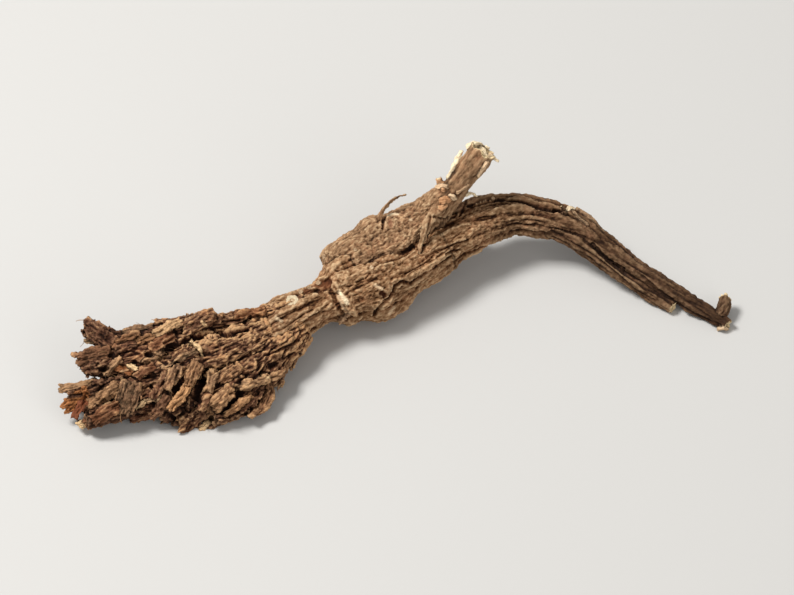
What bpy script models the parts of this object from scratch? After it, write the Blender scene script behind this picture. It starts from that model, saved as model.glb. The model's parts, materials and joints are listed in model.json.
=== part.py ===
# A dried bupleurum root, lying on a flat surface: a ragged crown of old leaf bases, a narrow neck,
# a swollen two-lobed body with a broken side branch, and a taproot that splits into two strands.
# It grew as one piece, so it is one solid.
import math
import random

import bmesh
import bpy
import numpy as np
from mathutils import Matrix

MM = 0.001
SEED = 11

# Driving sizes of the whole root, in millimetres
CENTRE = (0.05, 1.85)       # moves the drawn routes so that the origin is under the middle of the root
FLOOR_LIFT = -1.0           # sinks the lowest places into the surface, where they are trimmed flat
FLOOR_BLOCK = (160, 90, 20)

# Centre lines, each point as (x, y, z, radius), drawn away from the crown
TAPROOT = [
    (-27, -9, 7.4, 3.8), (-22.4, -5.6, 7.4, 4.1), (-16, -1.4, 7.5, 4.4), (-10, 2.6, 7.3, 5.2),
    (-4, 5.6, 7.1, 6.1), (3.5, 9.8, 7.7, 4.9), (11, 15, 9, 4.2), (19, 18.4, 9.8, 3.4),
    (27, 18.4, 9, 2.9), (33, 16.6, 7.7, 2.5), (38, 13.6, 6.2, 2.1), (44, 9.6, 4.6, 1.7),
    (51, 5.1, 3, 1.5), (57, 1.2, 2.1, 1.35), (59, -0.4, 1.9, 1.15),
]
BRANCH = [
    (-14, 2.2, 7.6, 2.8), (-9, 7, 8.2, 4.8), (-4, 11.4, 8.8, 5.7), (1.2, 14.3, 10, 5.1),
    (5.4, 16.2, 12.8, 3.7), (9.2, 18, 16.4, 2.7), (12.5, 19.8, 20.4, 2.45), (15.3, 21.2, 23.8, 2.45),
]
STRAND = [
    (25.5, 18.4, 8.8, 2.2), (32.4, 15, 7.2, 1.9), (37.6, 11.5, 5, 1.5), (42, 8.5, 3.5, 1.45),
    (46, 6, 2.4, 1.35), (49.4, 3.6, 2, 1.1),
]
UPPER_STRAND = [
    (9.5, 17, 11.6, 1.1), (14, 19.4, 12.2, 1.15), (19, 20.8, 11.8, 1.1), (24, 21, 11.2, 1.05),
    (29, 20.2, 10.2, 1), (33.6, 17.8, 8.9, 0.9), (38, 15, 7.2, 0.8),
]

# The crown's heads, from the neck to their broken ends, with the number of leaf bases on each
HEADS = {
    "A": (18, [(-17, -1.4, 8.2, 3.1), (-22.5, -4.2, 9, 2.5), (-28.5, -6.4, 9.8, 2.3),
               (-35, -7.9, 10.5, 2.6), (-42, -9.9, 10.4, 2.6), (-48.5, -11, 10, 2.4),
               (-53.4, -8.6, 9.8, 1.7)]),
    "B": (14, [(-32, -10, 8.6, 3.2), (-41, -12.6, 9.2, 3), (-48, -14.2, 9, 2.6),
               (-52.5, -15, 8.6, 1.9), (-55.4, -15.3, 8.3, 1.3)]),
    "C": (18, [(-23.5, -6.2, 7.4, 3.9), (-32, -11.2, 8, 4.2), (-41, -15.8, 7.8, 3.4),
               (-48.5, -18, 6.8, 2.5), (-54, -19, 6, 1.7), (-58, -19.2, 5.7, 1.2)]),
    "D": (16, [(-24, -7.4, 6.6, 4.2), (-32, -13, 6.2, 4.3), (-39.5, -17.4, 5.8, 3.5),
               (-46.5, -20.4, 4.9, 2.6), (-51.5, -22.4, 4.2, 1.9), (-54.6, -23.8, 3.8, 1.2)]),
    "E": (14, [(-20.5, -6, 5.8, 3.9), (-27, -12.2, 5.2, 4.2), (-32.5, -17, 4.8, 3.7),
               (-37.5, -19.8, 4, 2.9), (-42, -21.4, 3.4, 2)]),
    "F": (12, [(-17.5, -4.4, 6, 3.2), (-21.6, -10, 5.4, 3.4), (-24.6, -14.6, 4.9, 3.3),
               (-28.4, -18.6, 4.3, 3), (-33, -22, 3.3, 2)]),
    "G": (10, [(-21, -3.8, 6.4, 3.9), (-30, -6.4, 5.6, 4), (-38, -9.2, 4.8, 3.6), (-45, -11.8, 4.5, 3),
               (-50.5, -14, 4.2, 2.1)]),
}

# Side rootlets, thin and broken short; each starts inside what it grows from
ROOTLETS = [
    [(-3, 11.4, 13, 0.9), (-3.2, 13.6, 14.8, 0.7), (-2.4, 15, 15.6, 0.55), (-0.6, 16.5, 17, 0.5),
     (1.6, 17.4, 17.6, 0.4)],
    [(8.2, 15.4, 17.4, 1.1), (6.2, 12.6, 16.6, 0.85), (5.1, 10.8, 15.4, 0.7), (4.5, 9.2, 13.6, 0.6),
     (3.9, 8, 12, 0.5)],
    [(57.5, 1, 2.4, 0.9), (58.6, 3, 3, 0.7), (58.9, 5.4, 3.4, 0.5)],
    [(30, 17.6, 9.4, 0.9), (29.6, 18.6, 11.6, 0.6), (29.2, 19, 12.4, 0.4)],
    [(12, 18, 7, 1.2), (12.6, 21, 5, 0.8), (14.2, 23, 4.4, 0.5)],
    [(-8, 8, 4.6, 1.4), (-10, 13.4, 3.2, 0.9), (-9.2, 17.4, 3.6, 0.55)],
    [(-14, 0, 5.2, 1.3), (-15.4, 4.2, 3.2, 0.8), (-13.8, 7.4, 2.6, 0.5)],
]

# Low knobs on the bark where rootlets were shed: (x, y, z, radius)
KNOBS = [
    (-18.6, -1.2, 11.6, 1.15), (-15.6, 2.4, 10.6, 1.1), (-14.4, 3, 11.4, 0.9), (-10, 0.2, 12, 1),
    (-2.6, 1.6, 11.4, 0.9), (17, 15.8, 12.2, 0.8), (23.5, 21.2, 10.6, 0.8), (41, 12.9, 6.6, 0.7),
    (-6, 10.4, 3.4, 1.2), (6, 12.4, 3.6, 1.1), (20, 17, 6.6, 0.9), (-17, 2.2, 5.6, 1.1),
]

# A leaf base, in millimetres: the fibrous stump of an old leaf
BASE_LENGTH = (3.4, 6.6)
BASE_WIDTH = (1.7, 3)
BASE_THICKNESS = (1.2, 1.9)
BASE_LIFT = (0.3, 1.7)
BASE_SUNK = 0.35
GOLDEN_ANGLE = math.pi * (3 - math.sqrt(5))

BARK_COLOUR = (0.19, 0.11, 0.065, 1)
BARK_ROUGHNESS = 0.9


def clear_scene():
    for obj in list(bpy.data.objects):
        bpy.data.objects.remove(obj)


def bark_material():
    material = bpy.data.materials.new("dried bark")
    material.use_nodes = True
    shader = material.node_tree.nodes["Principled BSDF"]
    shader.inputs["Base Color"].default_value = BARK_COLOUR
    shader.inputs["Roughness"].default_value = BARK_ROUGHNESS
    shader.inputs["Metallic"].default_value = 0
    return material


def smooth_route(points, per_span):
    """Places drawn points in the part's frame and runs a smooth curve, with its radius, through them."""
    p = np.array(points, float) + (*CENTRE, FLOOR_LIFT, 0)
    p = np.vstack([2 * p[0] - p[1], p, 2 * p[-1] - p[-2]])
    found = []
    for i in range(1, len(p) - 2):
        a, b, c, d = p[i - 1:i + 3]
        for t in np.arange(per_span) / per_span:
            found.append(0.5 * (2 * b + (c - a) * t + (2 * a - 5 * b + 4 * c - d) * t ** 2
                                + (3 * b - a - 3 * c + d) * t ** 3))
    found.append(p[-2])
    return np.array(found)


def frames_along(centres):
    """The curve's direction at each point, with two sideways directions that follow it untwisted."""
    along = np.gradient(centres, axis=0)
    along /= np.linalg.norm(along, axis=1)[:, None]
    side = np.cross(along[0], (0, 0, 1))
    across = []
    for direction in along:
        side = side - direction * side.dot(direction)
        side = side / np.linalg.norm(side)
        across.append(side)
    across = np.array(across)
    return along, across, np.cross(across, along)


def bark_waves(counts, depth, rng):
    """Lengthwise wrinkles of dried bark: waves round the root that drift as they run along it."""
    return [(count, depth * rng.uniform(0.6, 1), rng.uniform(0, 2 * math.pi), rng.uniform(-0.06, 0.06))
            for count in counts]


def wrinkle(angle, travelled, waves):
    return sum(depth * math.cos(count * angle + phase + drift * travelled)
               for count, depth, phase, drift in waves)


def add_solid(name, rings, first_middle, last_middle, collection):
    """A closed skin over rings of equal count, with a middle point in each end."""
    bm = bmesh.new()
    loops = [[bm.verts.new(point * MM) for point in ring] for ring in rings]
    count = len(loops[0])
    for one, two in zip(loops, loops[1:]):
        for i in range(count):
            j = (i + 1) % count
            bm.faces.new((one[i], one[j], two[j], two[i]))
    for loop, point in ((loops[0], first_middle), (loops[-1], last_middle)):
        middle = bm.verts.new(point * MM)
        for i in range(count):
            bm.faces.new((loop[i], loop[(i + 1) % count], middle))
    bmesh.ops.triangulate(bm, faces=bm.faces)
    bmesh.ops.recalc_face_normals(bm, faces=bm.faces)
    mesh = bpy.data.meshes.new(name)
    bm.to_mesh(mesh)
    bm.free()
    obj = bpy.data.objects.new(name, mesh)
    collection.objects.link(obj)
    return obj


def add_root(name, route, sides, per_span, counts, depth, rng, collection, ragged=0.25):
    """A wrinkled root along a route, closed by a ragged broken end."""
    path = smooth_route(route, per_span)
    centres, radii = path[:, :3], path[:, 3]
    along, across, up = frames_along(centres)
    steps = np.linalg.norm(np.diff(centres, axis=0), axis=1)
    travelled = np.concatenate([[0], np.cumsum(steps)])
    waves = bark_waves(counts, depth, rng)
    angles = [2 * math.pi * k / sides for k in range(sides)]
    rings = []
    for i, centre in enumerate(centres):
        reach = [radii[i] * (1 + wrinkle(angle, travelled[i], waves)) for angle in angles]
        rings.append([centre + r * (math.cos(angle) * across[i] + math.sin(angle) * up[i])
                      for r, angle in zip(reach, angles)])
    rings[-1] = [point + along[-1] * radii[-1] * rng.uniform(-ragged, ragged) for point in rings[-1]]
    first = centres[0] - along[0] * radii[0] * 0.4
    last = centres[-1] - along[-1] * radii[-1] * 0.3
    return add_solid(name, rings, first, last, collection)


def add_leaf_base(name, foot, along, outward, sizes, rng, collection):
    """A flat tapered bar with an arched back, rooted in its head and lifted towards its broken tip."""
    length, width, thickness, lift = sizes
    across = np.cross(along, outward)
    taper = rng.uniform(0.55, 0.95)
    bend = rng.uniform(-0.12, 0.12) * length
    profile = ((-1, -0.7), (-0.75, 0.6), (0.1, 1), (0.85, 0.5), (1, -0.6))
    rings = []
    for t in (0, 0.6, 1):
        middle = foot + along * length * t + outward * lift * t * t + across * bend * t * t
        half = 0.5 * width * (1 - (1 - taper) * t * t)
        high = 0.5 * thickness * (1 - 0.3 * t)
        rings.append([middle + across * half * a + outward * high * b for a, b in profile])
    rings[-1] = [point + along * width * rng.uniform(-0.25, 0.25) for point in rings[-1]]
    return add_solid(name, rings, foot - along * 0.2, middle - along * 0.1 * width, collection)


def add_head(letter, count, route, rng, collection):
    """One head of the crown: a tapered core with leaf bases set round it in a spiral."""
    add_root(f"head {letter}", route, 11, 2, (3, 4), 0.1, rng, collection, ragged=0.5)
    path = smooth_route(route, 12)
    centres, radii = path[:, :3], path[:, 3]
    along, across, up = frames_along(centres)
    turn = rng.uniform(0, 2 * math.pi)
    for n in range(count):
        i = int(len(path) * (0.08 + 0.8 * (n + rng.uniform(0, 0.8)) / count))
        angle = turn + n * GOLDEN_ANGLE + rng.uniform(-0.3, 0.3)
        outward = math.cos(angle) * across[i] + math.sin(angle) * up[i]
        foot = centres[i] + outward * (radii[i] - BASE_SUNK)
        sizes = [rng.uniform(*span) for span in (BASE_LENGTH, BASE_WIDTH, BASE_THICKNESS, BASE_LIFT)]
        sizes[0] *= min(1, 0.45 + radii[i] / 5)
        add_leaf_base(f"leaf base {letter}{n}", foot, along[i], outward, sizes, rng, collection)


def add_knob(name, place, collection):
    x, y, z, radius = np.array(place) + (*CENTRE, FLOOR_LIFT, 0)
    bm = bmesh.new()
    bmesh.ops.create_icosphere(bm, subdivisions=1, radius=radius * MM,
                               matrix=Matrix.Translation((x * MM, y * MM, z * MM)))
    mesh = bpy.data.meshes.new(name)
    bm.to_mesh(mesh)
    bm.free()
    collection.objects.link(bpy.data.objects.new(name, mesh))


def add_floor_block(collection):
    """What is trimmed off below the surface that the root lies on."""
    bm = bmesh.new()
    long, wide, deep = (size * MM for size in FLOOR_BLOCK)
    bmesh.ops.create_cube(bm, size=1, matrix=Matrix.Translation((0, 0, -deep / 2))
                          @ Matrix.Diagonal((long, wide, deep, 1)))
    mesh = bpy.data.meshes.new("below the surface")
    bm.to_mesh(mesh)
    bm.free()
    block = bpy.data.objects.new("below the surface", mesh)
    collection.objects.link(block)
    block.hide_render = True
    block.display_type = "WIRE"
    return block


def apply_boolean(obj, operation, other):
    """Joins a whole collection to the object, or cuts another object from it, and applies the result."""
    modifier = obj.modifiers.new("fuse", "BOOLEAN")
    modifier.operation = operation
    modifier.solver = "EXACT"
    if operation == "UNION":
        modifier.operand_type = "COLLECTION"
        modifier.collection = other
    else:
        modifier.object = other
    graph = bpy.context.evaluated_depsgraph_get()
    joined = bpy.data.meshes.new_from_object(obj.evaluated_get(graph))
    obj.modifiers.remove(modifier)
    obj.data = joined


def main():
    clear_scene()
    rng = random.Random(SEED)
    scene = bpy.context.scene.collection
    growths = bpy.data.collections.new("growths")
    scene.children.link(growths)

    root = add_root("bupleurum_root", TAPROOT, 28, 3, (4, 7, 10), 0.09, rng, scene)
    add_root("side branch", BRANCH, 22, 3, (5, 8), 0.06, rng, growths, ragged=0.12)
    add_root("strand", STRAND, 12, 3, (3, 5), 0.1, rng, growths)
    add_root("upper strand", UPPER_STRAND, 8, 2, (2, 3), 0.1, rng, growths)
    for letter, (count, route) in HEADS.items():
        add_head(letter, count, route, rng, growths)
    for n, route in enumerate(ROOTLETS):
        add_root(f"rootlet {n}", route, 6, 2, (2, 3), 0.1, rng, growths)
    for n, place in enumerate(KNOBS):
        add_knob(f"knob {n}", place, growths)

    apply_boolean(root, "UNION", growths)
    for growth in list(growths.objects):
        bpy.data.objects.remove(growth)
    floor_block = add_floor_block(scene)
    apply_boolean(root, "DIFFERENCE", floor_block)
    bpy.data.objects.remove(floor_block)

    root.data.materials.clear()
    root.data.materials.append(bark_material())
    root.data.shade_smooth()
    root.data.set_sharp_from_angle(angle=math.radians(35))


main()
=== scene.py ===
import json
import math
import random
from functools import partial

import bpy
import numpy as np
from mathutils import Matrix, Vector
from mathutils.bvhtree import BVHTree

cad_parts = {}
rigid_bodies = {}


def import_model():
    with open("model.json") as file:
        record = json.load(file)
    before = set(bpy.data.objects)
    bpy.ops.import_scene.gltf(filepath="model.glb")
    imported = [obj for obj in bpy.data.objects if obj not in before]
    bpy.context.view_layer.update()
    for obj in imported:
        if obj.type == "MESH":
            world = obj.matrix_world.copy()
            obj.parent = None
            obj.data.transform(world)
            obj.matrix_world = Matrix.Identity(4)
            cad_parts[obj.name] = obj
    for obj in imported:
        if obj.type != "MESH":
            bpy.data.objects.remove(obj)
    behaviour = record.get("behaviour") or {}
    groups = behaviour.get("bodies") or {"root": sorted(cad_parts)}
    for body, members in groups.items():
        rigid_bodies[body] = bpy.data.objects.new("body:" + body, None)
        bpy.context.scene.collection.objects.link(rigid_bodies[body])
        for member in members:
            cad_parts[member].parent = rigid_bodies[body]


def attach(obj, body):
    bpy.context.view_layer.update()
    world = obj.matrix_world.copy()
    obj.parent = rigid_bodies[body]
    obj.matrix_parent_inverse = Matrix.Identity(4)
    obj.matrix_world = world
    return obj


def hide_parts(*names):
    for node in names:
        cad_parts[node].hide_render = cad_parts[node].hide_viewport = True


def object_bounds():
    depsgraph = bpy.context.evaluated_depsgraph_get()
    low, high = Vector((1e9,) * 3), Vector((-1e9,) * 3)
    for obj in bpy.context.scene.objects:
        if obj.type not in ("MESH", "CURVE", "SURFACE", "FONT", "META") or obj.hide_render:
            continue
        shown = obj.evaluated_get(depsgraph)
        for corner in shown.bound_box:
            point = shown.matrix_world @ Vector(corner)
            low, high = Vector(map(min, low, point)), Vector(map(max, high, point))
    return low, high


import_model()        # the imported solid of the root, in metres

mm = 0.001
cadLow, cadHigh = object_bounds()
lowEdge, highEdge = np.array(cadLow) / mm, np.array(cadHigh) / mm

# How the photograph sees the root: from this elevation, with pixels of this many millimetres. Its pixel
# "centre" shows the place "origin", where the routes of the root and its crown count from
view = {"elevation": math.radians(50), "pixel": 0.3, "centre": (466, 420), "origin": (0.05, 1.85, -1.0),
        "lens": 300, "sensor": 36, "shownWidth": 0.1405, "target": (0.0, 0.0, 0.0105)}
towardsCamera = np.array([0, -math.cos(view["elevation"]), math.sin(view["elevation"])])
upInView = np.array([0, math.sin(view["elevation"]), math.cos(view["elevation"])])


def addNode(tree, kind, inputs=(), operation=None, **settings):
    # Adds a node; its inputs go by place or by name, and each is a value, a node or a socket. A kind
    # without "Node" in it is a shader node
    node = tree.nodes.new(kind if "Node" in kind else "ShaderNode" + kind)
    if operation:
        node.operation = operation
    for name, value in settings.items():
        setattr(node, name, value)
    shown = [socket for socket in node.inputs if socket.enabled]
    for key, value in (inputs.items() if isinstance(inputs, dict) else enumerate(inputs)):
        socket = shown[key] if isinstance(key, int) else next(s for s in shown if s.name == key)
        if isinstance(value, bpy.types.Node):
            value = next(s for s in value.outputs if s.enabled)
        if isinstance(value, bpy.types.NodeSocket):
            tree.links.new(value, socket)
        else:
            socket.default_value = value
    return node


def linearColour(code):
    # An sRGB hex value as the linear colour that a shader takes
    parts = [int(code[i:i + 2], 16) / 255 for i in (1, 3, 5)]
    return tuple(p / 12.92 if p <= 0.04045 else ((p + 0.055) / 1.055) ** 2.4 for p in parts) + (1.0,)


def wobble(points, size, seed, waves=10, pace=2.4):
    # A smooth unevenness between about -1 and 1 at each point, with lumps of this size
    rng = np.random.default_rng(seed)
    turns = rng.normal(size=(waves, 3)) * pace / size
    return np.sin(np.asarray(points) @ turns.T + rng.uniform(0, 6.28, waves)).sum(1) / math.sqrt(waves)


def randomEach(rng, low, high, count):
    # That many random values between two others, drawn in order
    return np.array([rng.uniform(low, high) for _ in range(count)])


def smoothRoute(points, spacing, steps=24):
    # A smooth curve through (x, y, z, radius) points, resampled evenly, and the way travelled along it
    p = np.array(points, float)
    p = np.vstack([2 * p[0] - p[1], p, 2 * p[-1] - p[-2]])
    found = []
    for i in range(1, len(p) - 2):
        a, b, c, d = p[i - 1:i + 3]
        for t in np.arange(steps) / steps:
            found.append(0.5 * (2 * b + (c - a) * t + (2 * a - 5 * b + 4 * c - d) * t ** 2
                                + (3 * b - a - 3 * c + d) * t ** 3))
    found = np.array(found + [p[-2]])
    travelled = np.concatenate([[0], np.cumsum(np.linalg.norm(np.diff(found[:, :3], axis=0), axis=1))])
    even = np.linspace(0, travelled[-1], max(4, round(travelled[-1] / spacing) + 1))
    return np.stack([np.interp(even, travelled, found[:, k]) for k in range(4)], 1), even


def framesAlong(centres, facing=(0, 0, 1)):
    # A curve's direction at each point, with two sideways directions that follow it without twisting
    along = np.gradient(centres, axis=0)
    along /= np.linalg.norm(along, axis=1)[:, None]
    side = np.cross(along[0], facing)
    across = np.empty_like(along)
    for i, direction in enumerate(along):
        side = side - direction * side.dot(direction)
        side /= np.linalg.norm(side)
        across[i] = side
    return along, across, np.cross(along, across)


# What each skin carries besides its grain and wood, with the usual value; a ring may have its own
skinFields = {
    "ridged": 1.0,           # share of the long ridges
    "calm": 0.0,             # how far the fine relief is smoothed
    "tone": 0.0,             # a value of its own for its pattern and colour
    "based": 0.0,            # share of the leaf bases that stand on it
    "dusk": 0.0,             # how much darker and duller it is
    "tint": (0, 0, 0),       # shares of pale wood, orange inner bark and red-brown skin
    "heading": (1, 0, 0)}    # the way that it grows


def fieldKind(field):
    # The kind of attribute that holds a field
    return "FLOAT_VECTOR" if field in ("grain", "tint", "heading") else "FLOAT"


def loftSkin(rings, grain, fields, endFrom):
    # Rings of points as a closed skin; from ring endFrom on it is the broken end, which is wood
    count, sides = rings.shape[:2]
    index = np.arange(count * sides).reshape(count, sides)
    turned = np.roll(index, -1, axis=1)
    quads = np.stack([index[:-1], turned[:-1], turned[1:], index[1:]], 2).reshape(-1, 4)
    first, last = count * sides, count * sides + 1
    faces = quads.tolist() + [(turned[0][i], index[0][i], first) for i in range(sides)]
    faces += [(index[-1][i], turned[-1][i], last) for i in range(sides)]
    skin = {"verts": np.vstack([rings.reshape(-1, 3), rings[0].mean(0), rings[-1].mean(0)]), "faces": faces,
            "grain": np.vstack([grain.reshape(-1, 3), grain[0].mean(0), grain[-1].mean(0)])}
    ringOf = np.append(np.repeat(np.arange(count), sides), [0, count - 1])
    skin["wood"] = (ringOf >= endFrom) * float(fields.get("wood", 1))
    for name, usual in skinFields.items():
        value = np.asarray(fields.get(name, usual), float)
        if value.ndim == np.ndim(usual):
            value = value[None]
        skin[name] = value[np.minimum(ringOf, len(value) - 1)]
    return skin


# How a sweep is drawn before it is merged into its skin. Lengths are in millimetres, the rest are shares
sweeps = {"ringSpacing": 0.3, "sideLength": 0.32, "fewestSides": 12, "mostSides": 120, "waveShare": (0.6, 1),
          "waveDrift": 0.06, "lumpSize": 4.5, "endJags": 11, "endRings": 5, "tuck": 2.4, "tuckedTo": 0.5}


def sweepRoot(points, seed, waveCounts=(4, 7), waveDepth=0.07, lump=0.06, shrink=1.0, hollow=0.35,
              ragged=0.3, span=(0, 999), **fields):
    # One root or rootlet as a closed skin; "grain" unrolls it, so that patterns follow it round and along.
    # Its span is the part of its length to keep; at a cut it tucks into the piece that goes on from there
    rng = random.Random(seed)
    path, travelled = smoothRoute(np.array(points, float) + (*view["origin"], 0), sweeps["ringSpacing"])
    centres, radii = path[:, :3], path[:, 3] * shrink
    along, across, up = framesAlong(centres)
    sides = int(np.clip(2 * math.pi * radii.max() / sweeps["sideLength"],
                        sweeps["fewestSides"], sweeps["mostSides"]))
    angles = np.linspace(0, 2 * math.pi, sides, endpoint=False)
    outward = np.cos(angles)[None, :, None] * across[:, None] + np.sin(angles)[None, :, None] * up[:, None]
    reach = np.ones((len(path), sides))
    for count in waveCounts:
        phase, drift = rng.uniform(0, 2 * math.pi), rng.uniform(-sweeps["waveDrift"], sweeps["waveDrift"])
        turn = count * angles[None] + phase + drift * travelled[:, None]
        reach += waveDepth * rng.uniform(*sweeps["waveShare"]) * np.cos(turn)
    skin = centres[:, None] + (radii[:, None] * reach)[..., None] * outward
    reach += lump * wobble(skin.reshape(-1, 3), sweeps["lumpSize"], seed).reshape(reach.shape)
    first, last = (min(round(place / travelled[1]), len(path) - 1) for place in span)
    rings = np.arange(len(path))
    for cut, beyond in ((first > 0, rings - first), (last < len(path) - 1, last - rings)):
        if cut:
            share = np.clip(beyond * travelled[1] / sweeps["tuck"], 0, 1)
            rounded = np.sqrt(share * (2 - share))
            reach *= (sweeps["tuckedTo"] + (1 - sweeps["tuckedTo"]) * rounded)[:, None]
    skin = centres[:, None] + (radii[:, None] * reach)[..., None] * outward
    unrolled = np.stack([np.cos(angles)[None] * radii[:, None], np.sin(angles)[None] * radii[:, None],
                         np.broadcast_to(travelled[:, None], reach.shape)], 2)
    jags = sweeps["endJags"]
    jag = np.interp(np.arange(sides) * jags / sides, np.arange(jags + 1), [*randomEach(rng, -1, 1, jags), 0])
    fields = {"tone": rng.random(), "heading": along, **fields}
    for name in ("based", "calm", "dusk", "ridged"):
        if np.ndim(fields.get(name, 0)):
            fields[name] = np.interp(travelled / travelled[-1], *zip(*fields[name]))
    kept = slice(first, last + 1)
    skin, unrolled, centres, radii, along = (part[kept] for part in (skin, unrolled, centres, radii, along))
    fields = {name: value[kept] if np.ndim(value) and len(value) == len(path) else value
              for name, value in fields.items()}
    skin[-1] += along[-1] * (jag * ragged * radii[-1])[:, None]
    rings, grain = [skin], [unrolled]
    for k in range(1, sweeps["endRings"] + 1):
        share = 1 - k / (sweeps["endRings"] + 1)
        sunk = -hollow * radii[-1] * (1 - share ** 2)
        rings.append((centres[-1] + share * (skin[-1] - centres[-1]) + along[-1] * sunk)[None])
        grain.append(unrolled[-1:] * (share, share, 1))
    return loftSkin(np.concatenate(rings), np.concatenate(grain), fields, last - first)


# How a flake is drawn: how square its section is across and through, how uneven its rings are, how its
# thickness goes with its width, how far its tip breaks off, and how the broken face is drawn in and sunk
flakeForm = {"spacing": 0.1, "square": (0.7, 0.8), "uneven": (0.84, 1.16), "thickness": (0.55, 0.45),
             "broken": (-1, 0.5), "endShare": 0.55, "endSunk": 0.12, "ridged": 0.35}


def looseFlake(route, width, thickness, facing, seed, sections=12, sides=14, taper=(0.9, 1, 1, 0.8), jag=0.6,
               **fields):
    # A broken plate, leaf base or splinter as a closed loft, flat towards the way that it faces
    rng = random.Random(seed)
    points = np.hstack([np.array(route, float), np.zeros((len(route), 1))])
    path, travelled = smoothRoute(points, flakeForm["spacing"])
    chosen = np.linspace(0, len(path) - 1, sections).round().astype(int)
    centres, travelled = path[chosen, :3], travelled[chosen]
    along, across, up = framesAlong(centres, facing)
    angles = np.linspace(0, 2 * math.pi, sides, endpoint=False)
    flat, domed = (np.sign(turn) * np.abs(turn) ** power
                   for turn, power in zip((np.cos(angles), np.sin(angles)), flakeForm["square"]))
    widths = np.interp(travelled / travelled[-1], np.linspace(0, 1, len(taper)), taper)
    uneven = randomEach(rng, *flakeForm["uneven"], sections * sides).reshape(sections, sides)
    wide = flat[None] * widths[:, None] * uneven * width / 2
    least, more = flakeForm["thickness"]
    thick = domed[None] * (least + more * widths[:, None]) * uneven * thickness / 2
    rings = centres[:, None] + wide[..., None] * across[:, None] + thick[..., None] * up[:, None]
    broken = randomEach(rng, *flakeForm["broken"], sides) * jag * width / 2
    rings[-1] += along[-1] * broken[:, None]
    middle, share = rings[-1].mean(0), flakeForm["endShare"]
    inner = middle + share * (rings[-1] - middle) - along[-1] * thickness * flakeForm["endSunk"]
    grain = np.stack([wide, thick, np.broadcast_to(travelled[:, None], wide.shape)], 2)
    grain = np.concatenate([grain, grain[-1:] * (share, share, 1)])
    fields = {"ridged": flakeForm["ridged"], "tone": rng.random(), "heading": along, **fields}
    return loftSkin(np.concatenate([rings, inner[None]]), grain, fields, sections)


def storeField(mesh, name, values):
    # Writes one value for each vertex as a named attribute
    kind = fieldKind(name)
    attribute = mesh.attributes.new(name, kind, "POINT")
    attribute.data.foreach_set("vector" if kind == "FLOAT_VECTOR" else "value",
                               np.ascontiguousarray(values, np.float32).ravel())


def meshPoints(mesh):
    # A mesh's vertices in millimetres, and their normals
    points, normals = (np.empty(len(mesh.vertices) * 3, np.float32) for _ in range(2))
    mesh.vertices.foreach_get("co", points)
    mesh.vertex_normals.foreach_get("vector", normals)
    return points.reshape(-1, 3) / mm, normals.reshape(-1, 3)


def keepInside(points, margin=0.9):
    # Draws in what would reach past the solid's box, gently, and cuts it flat at the floor
    for axis in range(2):
        for side, edge in ((-1, lowEdge[axis]), (1, highEdge[axis])):
            over = side * (points[:, axis] - edge) + margin
            eased = margin * (1 - np.exp(-np.maximum(over, 0) / margin))
            points[:, axis] = np.where(over > 0, edge + side * (eased - margin), points[:, axis])
    points[:, 2] = np.clip(points[:, 2], lowEdge[2], highEdge[2])
    return points


def fitInside(obj):
    # Keeps an object's vertices inside the solid's box
    points = keepInside(meshPoints(obj.data)[0]) * mm
    obj.data.vertices.foreach_set("co", points.astype(np.float32).ravel())


def joinSkins(name, skins):
    # Several skins as one object, in metres, with their fields on the mesh
    faces, start = [], 0
    for skin in skins:
        faces += [[i + start for i in face] for face in skin["faces"]]
        start += len(skin["verts"])
    mesh = bpy.data.meshes.new(name)
    mesh.from_pydata((np.vstack([skin["verts"] for skin in skins]) * mm).tolist(), [], faces)
    for field in ("grain", "wood", *skinFields):
        storeField(mesh, field, np.concatenate([skin[field] for skin in skins]))
    obj = bpy.data.objects.new(name, mesh)
    bpy.context.scene.collection.objects.link(obj)
    return obj


def plainMesh(obj):
    # The object's mesh with its modifiers applied; the modifiers are removed
    graph = bpy.context.evaluated_depsgraph_get()
    mesh = bpy.data.meshes.new_from_object(obj.evaluated_get(graph), preserve_all_data_layers=True,
                                           depsgraph=graph)
    obj.modifiers.clear()
    return mesh


def newTree(name, sockets):
    # A geometry tree with named inputs: a value gives a socket of its kind, and a word is the kind itself
    kinds = {bool: "Bool", int: "Int", float: "Float"}
    tree = bpy.data.node_groups.new(name, "GeometryNodeTree")
    for label, value in {"Geometry": "Geometry", **sockets}.items():
        kind = kinds.get(type(value), value)
        socket = tree.interface.new_socket(label, in_out="INPUT", socket_type="NodeSocket" + kind)
        if kind != value:
            socket.default_value = value
    tree.interface.new_socket("Geometry", in_out="OUTPUT", socket_type="NodeSocketGeometry")
    return tree


def applyTree(obj, tree, values):
    # Runs a geometry tree on an object, with these values for its inputs, and keeps the plain result
    modifier = obj.modifiers.new(tree.name, "NODES")
    modifier.node_group = tree
    for item in tree.interface.items_tree:
        if item.in_out == "INPUT" and item.name in values:
            modifier[item.identifier] = values[item.name]
    obj.data = plainMesh(obj)
    return obj


def buildCrumbTree():
    # Drops the loose specks that merging leaves
    tree = newTree("dropCrumbs", {"Fewest": 1200.0})
    add = partial(addNode, tree)
    given = add("NodeGroupInput").outputs
    island = add("GeometryNodeInputMeshIsland").outputs["Island Index"]
    size = add("GeometryNodeAccumulateField", {"Value": 1.0, "Group ID": island}, data_type="FLOAT",
               domain="POINT").outputs["Total"]
    small = add("FunctionNodeCompare", {"A": size, "B": given["Fewest"]}, data_type="FLOAT",
                operation="LESS_THAN")
    kept = add("GeometryNodeDeleteGeometry", {"Geometry": given["Geometry"], "Selection": small},
               domain="POINT")
    add("NodeGroupOutput", [kept])
    return tree


crumbTree = buildCrumbTree()


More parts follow.
